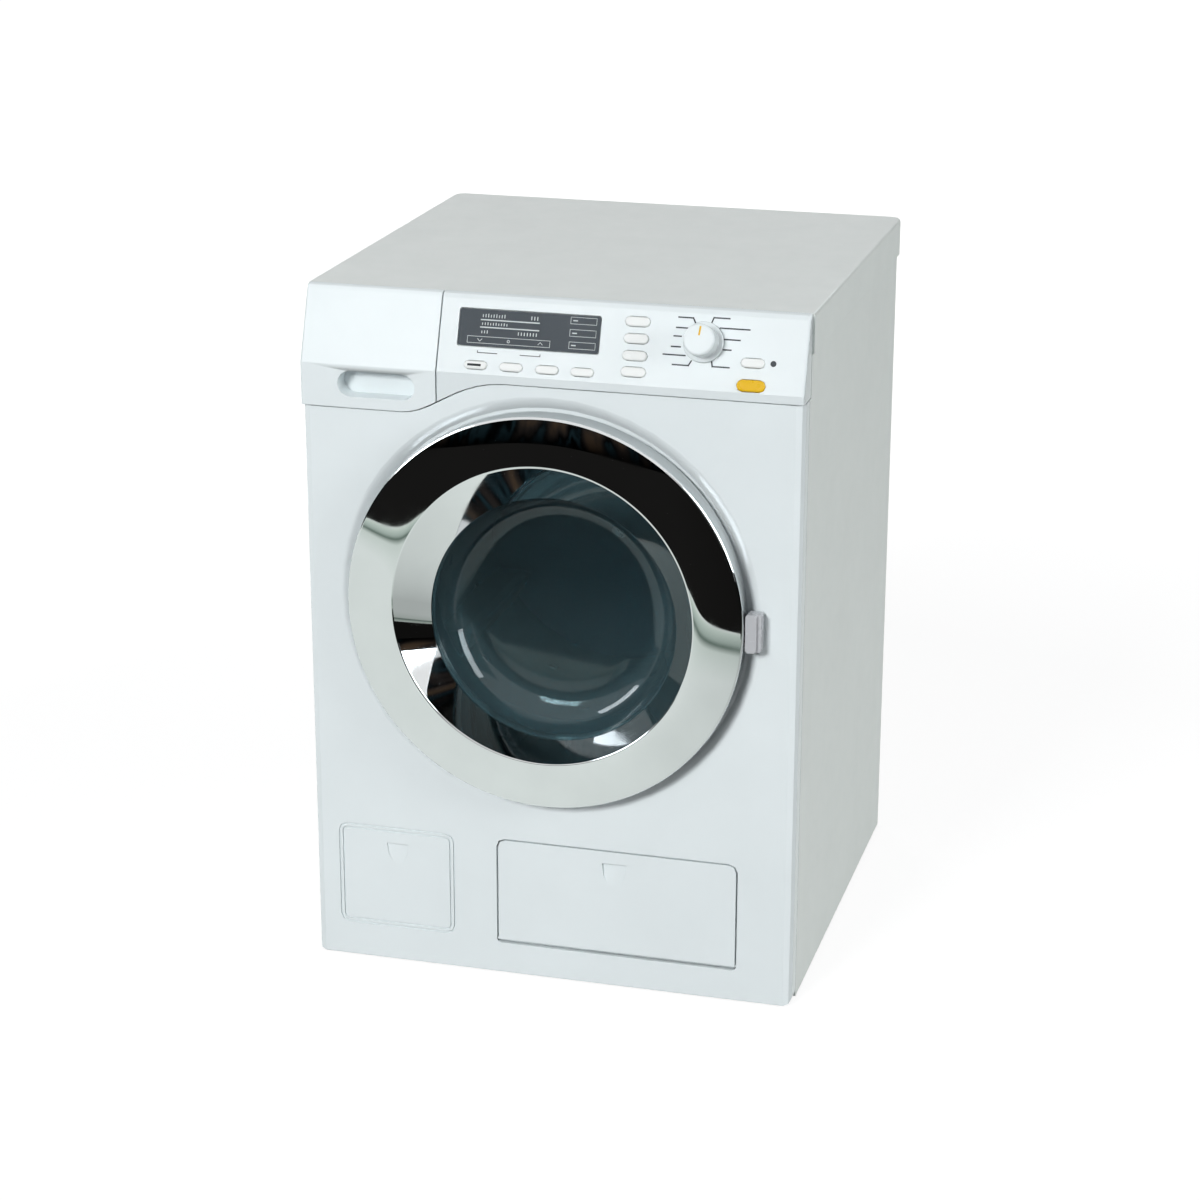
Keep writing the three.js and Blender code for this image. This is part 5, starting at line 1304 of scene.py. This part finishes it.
@dataclass
class Shells:
    """Housing parts, drawer, flap and drum: smooth copies of the CAD solids."""

    paints: Paints
    front: Cover = Cover("front_shell", "front_cover", Body.CABINET, "white", degrees=20.0)
    others: tuple[Cover, ...] = (
        Cover("body_shell", "side_cover", Body.CABINET, "side"),
        Cover("top_lid", "top_cover", Body.CABINET, "side"),
        Cover("drawer_front", "drawer_face", Body.DRAWER, "white"),
        Cover("service_flap", "flap_plate", Body.FLAP, "white"),
        Cover("battery_lid", "battery_cover", Body.CABINET, "side"),
        Cover("base_plate", "floor_plate", Body.CABINET, "inner", "white_inner"),
        Cover("drawer_tray", "drawer_box", Body.DRAWER, "inner", "white_inner"),
        Cover("service_niche", "flap_pocket", Body.CABINET, "inner", "white_inner"),
        Cover("door_gasket", "soft_seal", Body.CABINET, "rubber", "grey_rubber"),
        Cover("tub", "drum_housing", Body.CABINET, "plain_grey", "grey_plastic"),
        Cover("drum", "wash_drum", Body.DRUM, "drum", "drum_metal"),
        *(Cover(f"drum_lifter_{n}", f"drum_rib_{n}", Body.DRUM, "lifter", "drum_lifter") for n in (1, 2, 3)),
    )
    dish_radius: float = 74.8 * MM
    dish_floor: float = FRONT + 2.5 * MM
    slack: float = 0.3 * MM

    def on_dish_edge(self, place: Vector) -> bool:
        """Whether a point lies where the dish's slope meets its floor."""
        reach = math.hypot(place.x, place.z - DOOR_HEIGHT)
        return max(abs(reach - self.dish_radius), abs(place.y - self.dish_floor)) < self.slack

    def make_front(self) -> None:
        """Makes the front cover and keeps the dish's inner edge crisp."""
        cover = self.front.make(self.paints)
        with Bench.editing(cover):
            Bench.pick(cover, self.on_dish_edge)
            bpy.ops.mesh.mark_sharp()
        Bench.smooth(cover, self.front.degrees)

    def build(self) -> None:
        """Makes every copy and dresses it."""
        self.make_front()
        for cover in self.others:
            cover.make(self.paints)


@dataclass
class Inside:
    """The latch spring, and CAD nodes that keep their own solids and only get a finish."""

    paints: Paints
    latch_travel: float = 1.95 * MM
    spring: Cover = Cover("latch_spring", "latch_coil", Body.CABINET, "steel", "bare_steel", 60.0)
    finishes: dict[str, tuple[str, ...]] = field(default_factory=lambda: {
        "plain_grey": ("hinge_bracket", "latch_bar", "gear_plate"),
        "inner": ("drawer_housing", "battery_box"),
        "dark": ("speaker", "display_card", "program_switch"),
        "rubber": ("key_mat",),
        "board": ("circuit_board",),
        "gear": ("shaft_bush", "drum_gear", "idler_gear", "motor_pinion"),
        "steel": (
            "hinge_pin", "drum_shaft", "idler_pin", "battery_lid_screw", "contact_left", "contact_right"),
        "can": ("motor",),
        "sleeve": tuple(f"battery_cell_{number}" for number in range(1, 5)),
    })

    def make_spring(self) -> None:
        """Makes the latch's coil spring as a smooth copy with a mesh of its own."""
        coil = self.spring.make(self.paints)
        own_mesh(coil)

    def build(self) -> None:
        """Makes the spring and dresses each node."""
        self.make_spring()
        for finish, nodes in self.finishes.items():
            for node in nodes:
                self.paints.coat(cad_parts[node], finish)
                LOG.info("%s: dressed as %s", node, finish)


@dataclass(frozen=True)
class Lamp:
    """Soft rectangular lamp that hangs at a place, with its power in watts and its size in metres."""

    name: str
    power: float
    size: Pair
    place: Place
    aim: Place = (0, 0, 0.13)

    def hang(self) -> None:
        """Hangs the lamp and turns it to its aim."""
        data = bpy.data.lights.new(self.name, "AREA")
        data.shape = "RECTANGLE"
        data.energy = self.power
        data.size, data.size_y = self.size
        lamp = bpy.data.objects.new(self.name, data)
        bpy.context.scene.collection.objects.link(lamp)
        lamp.location = self.place
        lamp.rotation_euler = (Vector(self.aim) - Vector(self.place)).to_track_quat("-Z", "Y").to_euler()
        lamp.visible_glossy = False


def glow_in_mirrors(card: bpy.types.Object, desk: NodeDesk, colour: Term, strength: Term) -> None:
    """Lets a card or wall glow for reflections alone.

    Args:
        card: card or wall.
        desk: its material.
        colour: colour of its glow.
        strength: strength of its glow.
    """
    desk.shade({"Base Color": BLACK, "Specular IOR Level": 0.0})
    desk.shade({"Emission Color": colour, "Emission Strength": strength})
    card.data.materials.append(desk.material)
    card.visible_camera = card.visible_diffuse = False
    card.visible_shadow = card.visible_transmission = False


@dataclass(frozen=True)
class Softbox:
    """Bright card that only mirrors show, placed by angles in degrees as the door's middle sees it.

    The direction runs from the front towards the right, and low and high are its edges' heights.
    """

    name: str
    direction: float
    low: float
    high: float
    wide: float
    strength: float
    colour: Colour = (0.88, 0.95, 1.0)
    reach: float = 1.6
    door_height: float = 0.147

    def hang(self) -> None:
        """Hangs the card so that it faces the door."""
        turn, tilt = math.radians(self.direction), math.radians((self.low + self.high) / 2)
        way = Vector((math.sin(turn) * math.cos(tilt), -math.cos(turn) * math.cos(tilt), math.sin(tilt)))
        door = Vector((0, FRONT, self.door_height))
        angles = (self.wide, self.high - self.low)
        Bench.clear()
        bpy.ops.mesh.primitive_plane_add(size=1, location=way * self.reach + door)
        card = Bench.take(self.name)
        card.scale = (*(2 * self.reach * math.tan(math.radians(angle) / 2) for angle in angles), 1)
        card.rotation_euler = way.to_track_quat("Z", "Y").to_euler()
        Bench.fix()
        desk = NodeDesk(self.name)
        strength = desk.math("MULTIPLY", desk.mirror_rays(), self.strength)
        glow_in_mirrors(card, desk, (*self.colour, 1), strength)


@dataclass(frozen=True)
class Wall:
    """Dark room's wall round the table, in metres: a glowing sheet that only reflections see, a painted
    reflection of the dark room.

    It stands between two angles from the front, in degrees towards the right.
    """

    name: str
    height: float
    arc: Pair
    room: float = 5.0
    sides: int = 72
    glow_height: float = 0.5
    reflected_streaks: Ripple = Ripple(1.5, 5.0, stretch=(3.2, 3.2, 0.8))
    # Colours of the painted reflection: near black with teal and brown streaks.
    tones: tuple[tuple[float, Colour], ...] = (
        (0.38, linear(4, 5, 6)), (0.44, linear(34, 52, 58)), (0.5, linear(8, 8, 9)),
        (0.58, linear(44, 40, 38)), (0.66, linear(74, 60, 48)),
    )

    def is_outside(self, place: Vector) -> bool:
        """Whether a point lies outside the wall's arc."""
        return not self.arc[0] <= math.degrees(math.atan2(place.x, -place.y)) <= self.arc[1]

    def stand(self) -> None:
        """Stands the wall on the table's level."""
        Bench.clear()
        bpy.ops.mesh.primitive_cylinder_add(
            vertices=self.sides, radius=self.room, depth=self.height, end_fill_type="NOTHING",
            location=(0, 0, self.height / 2))
        wall = Bench.take(self.name)
        Bench.fix()
        with Bench.editing(wall):
            Bench.pick(wall, self.is_outside)
            bpy.ops.mesh.delete(type="VERT")
        desk = NodeDesk(self.name)
        # Painted reflection: the glow rises from nothing at the table to full at glow_height.
        rise = desk.span(desk.along("Z"), (0.0, self.glow_height), UNIT)
        glow_in_mirrors(wall, desk, desk.ramp(desk.noise(self.reflected_streaks), self.tones), rise)


@dataclass(frozen=True)
class Table:
    """White table: the camera sees it plain with the machine's shadow; mirrors see a painted reflection of
    its edge and of the dark room beyond.
    """

    size: float = 12.0
    dull_tones: Pair = (0.3, 0.2)
    shadow_span: Pair = (0.35, 0.9)
    glow: Pair = (0.88, 1.0)
    edge_way: Pair = (0.458, -0.889)
    edge_reach: float = 0.512
    edge_margins: Pair = (-0.14, 0.01)
    table_right: float = 0.85
    # Painted reflection of the table's rolled edge: pale green, a dark green band of painted shade, pale
    # again, then nearly black beyond for the dark room.
    tones: tuple[tuple[float, Colour], ...] = (
        (0.0, (0.86, 0.91, 0.88)), (0.45, (0.7, 0.77, 0.72)), (0.58, (0.14, 0.19, 0.16)),
        (0.66, (0.42, 0.5, 0.45)), (0.86, (0.66, 0.75, 0.68)), (0.92, (0.85, 0.9, 0.86)),
        (0.94, (0.011, 0.0105, 0.01)),
    )
    # Painted shade in reflections: the mirrored glow dims from left to right across these places on X.
    right_shade_span: Pair = (-0.02, 0.3)
    right_shade_glow: Pair = (0.98, 0.56)

    def seen(self, desk: NodeDesk) -> bpy.types.NodeSocket:
        """Shades the table as the camera sees it: nearly white round the machine and white far away.

        Args:
            desk: the table's material.

        Returns:
            The shader's output.
        """
        camera = desk.add("ShaderNodeLightPath").outputs["Is Camera Ray"]
        dull = desk.add("ShaderNodeBsdfDiffuse", {"Color": desk.span(camera, UNIT, self.dull_tones)})
        away = desk.span(desk.measure("LENGTH"), self.shadow_span, self.glow)
        strength = desk.math("MULTIPLY", away, camera)
        glow = desk.add("ShaderNodeEmission", {"Strength": strength})
        return desk.add("ShaderNodeAddShader", {0: dull.outputs[0], 1: glow.outputs[0]}).outputs[0]

    def mirrored(self, desk: NodeDesk) -> bpy.types.NodeSocket:
        """Paints the table's reflection as mirrors see it: white to its edge with painted edge bands, dark
        beyond, and dimmed towards the right by painted shade.

        Args:
            desk: the table's material.

        Returns:
            The shader's output.
        """
        front = desk.measure("DOT_PRODUCT", (*self.edge_way, 0))
        right = desk.measure("DOT_PRODUCT", (self.edge_reach / self.table_right, 0, 0))
        limits = tuple(self.edge_reach + margin for margin in self.edge_margins)
        outwards = desk.span(desk.math("MAXIMUM", front, right), limits, UNIT)
        # Painted reflection: edge bands and the dark beyond, by distance towards the table's front and right
        # edges.
        colour = desk.ramp(outwards, self.tones)
        # Painted shade: the reflected glow dims towards the right.
        strength = desk.span(desk.along("X"), self.right_shade_span, self.right_shade_glow)
        return desk.add("ShaderNodeEmission", {"Color": colour, "Strength": strength}).outputs[0]

    def lay(self) -> None:
        """Lays the table under the machine."""
        Bench.clear()
        bpy.ops.mesh.primitive_plane_add(size=self.size)
        floor = Bench.take("table_floor")
        desk = NodeDesk("table_white")
        desk.tree.nodes.remove(desk.shader)
        shaders = {0: desk.mirror_rays(), 1: self.seen(desk), 2: self.mirrored(desk)}
        desk.feed(desk.add("ShaderNodeMixShader", shaders).outputs[0], desk.output.inputs["Surface"])
        floor.data.materials.append(desk.material)


@dataclass
class Studio:
    """Camera, table, white background, soft lamps, and cards and walls for the mirrors."""

    photo_width: float = 1200.0
    focal_pixels: float = 2960.87
    film: float = 36.0
    clip: Pair = (0.05, 20.0)
    eye: Place = (0.28682, -1.05794, 0.49535)
    right: Place = (0.9639482, 0.2660861, 0.0014357)
    down: Place = (0.0870003, -0.3100672, -0.9467256)
    ahead: Place = (-0.2514654, 0.9127193, -0.3220383)
    sky: Colour = (0.93, 0.97, 1.0)
    ambient: float = 0.22
    table: Table = Table()
    lamps: tuple[Lamp, ...] = (
        Lamp("key_lamp", 33.5, (0.6, 0.5), (-0.55, -1.96, 1.06)),
        Lamp("side_lamp", 16.5, (1.0, 0.6), (1.85, -0.45, 0.72)),
        Lamp("back_lamp", 26.0, (1.0, 0.8), (-1.3, 1.9, 0.28)),
    )
    softboxes: tuple[Softbox, ...] = (
        Softbox("right_softbox", 72, 5, 40, 24, 10.0),
        Softbox("left_softbox", -75, 18, 45, 24, 14.0),
    )
    walls: tuple[Wall, ...] = (
        Wall("room_front", 1.4, (-150, 22)),
        Wall("room_corner", 3.4, (22, 58)),
        Wall("room_side", 0.6, (58, 181)),
    )

    def make_camera(self) -> None:
        """Sets the camera where the photograph was taken."""
        data = bpy.data.cameras.new("camera")
        data.sensor_width = self.film
        data.lens = self.focal_pixels / self.photo_width * self.film
        data.clip_start, data.clip_end = self.clip
        camera = bpy.data.objects.new("camera", data)
        bpy.context.scene.collection.objects.link(camera)
        axes = Matrix((self.right, [-value for value in self.down], [-value for value in self.ahead]))
        camera.matrix_world = Matrix.Translation(self.eye) @ axes.transposed().to_4x4()
        bpy.context.scene.camera = camera

    def make_world(self) -> None:
        """Gives a white background and a low, even light from all round."""
        world = bpy.data.worlds.new("studio_world")
        bpy.context.scene.world = world
        world.use_nodes = True
        desk = Desk(world.node_tree)
        soft = desk.add("ShaderNodeBackground", {"Color": (*self.sky, 1), "Strength": self.ambient})
        white = desk.add("ShaderNodeBackground", {"Color": WHITE, "Strength": 1.0})
        rays = desk.add("ShaderNodeLightPath").outputs
        seen = desk.math("MAXIMUM", desk.mirror_rays(), rays["Is Camera Ray"])
        clear = desk.math("MAXIMUM", seen, rays["Is Transmission Ray"])
        mix = desk.add("ShaderNodeMixShader", {0: clear, 1: soft.outputs[0], 2: white.outputs[0]})
        desk.add("ShaderNodeOutputWorld", {"Surface": mix.outputs[0]})

    def build(self) -> None:
        """Sets up the studio."""
        bpy.context.scene.view_settings.view_transform = "Standard"
        self.make_camera()
        self.make_world()
        self.table.lay()
        for light in (*self.lamps, *self.softboxes):
            light.hang()
        for wall in self.walls:
            wall.stand()


def main() -> None:
    """Builds every sub-assembly in order."""
    logging.basicConfig(level=logging.INFO, format="%(message)s")
    paints = Paints()
    for part in (Shells(paints), Fascia(paints), Knob(paints), Door(paints), Inside(paints), Studio()):
        LOG.info("building %s", type(part).__name__)
        part.build()


if __name__ == "__main__":
    main()
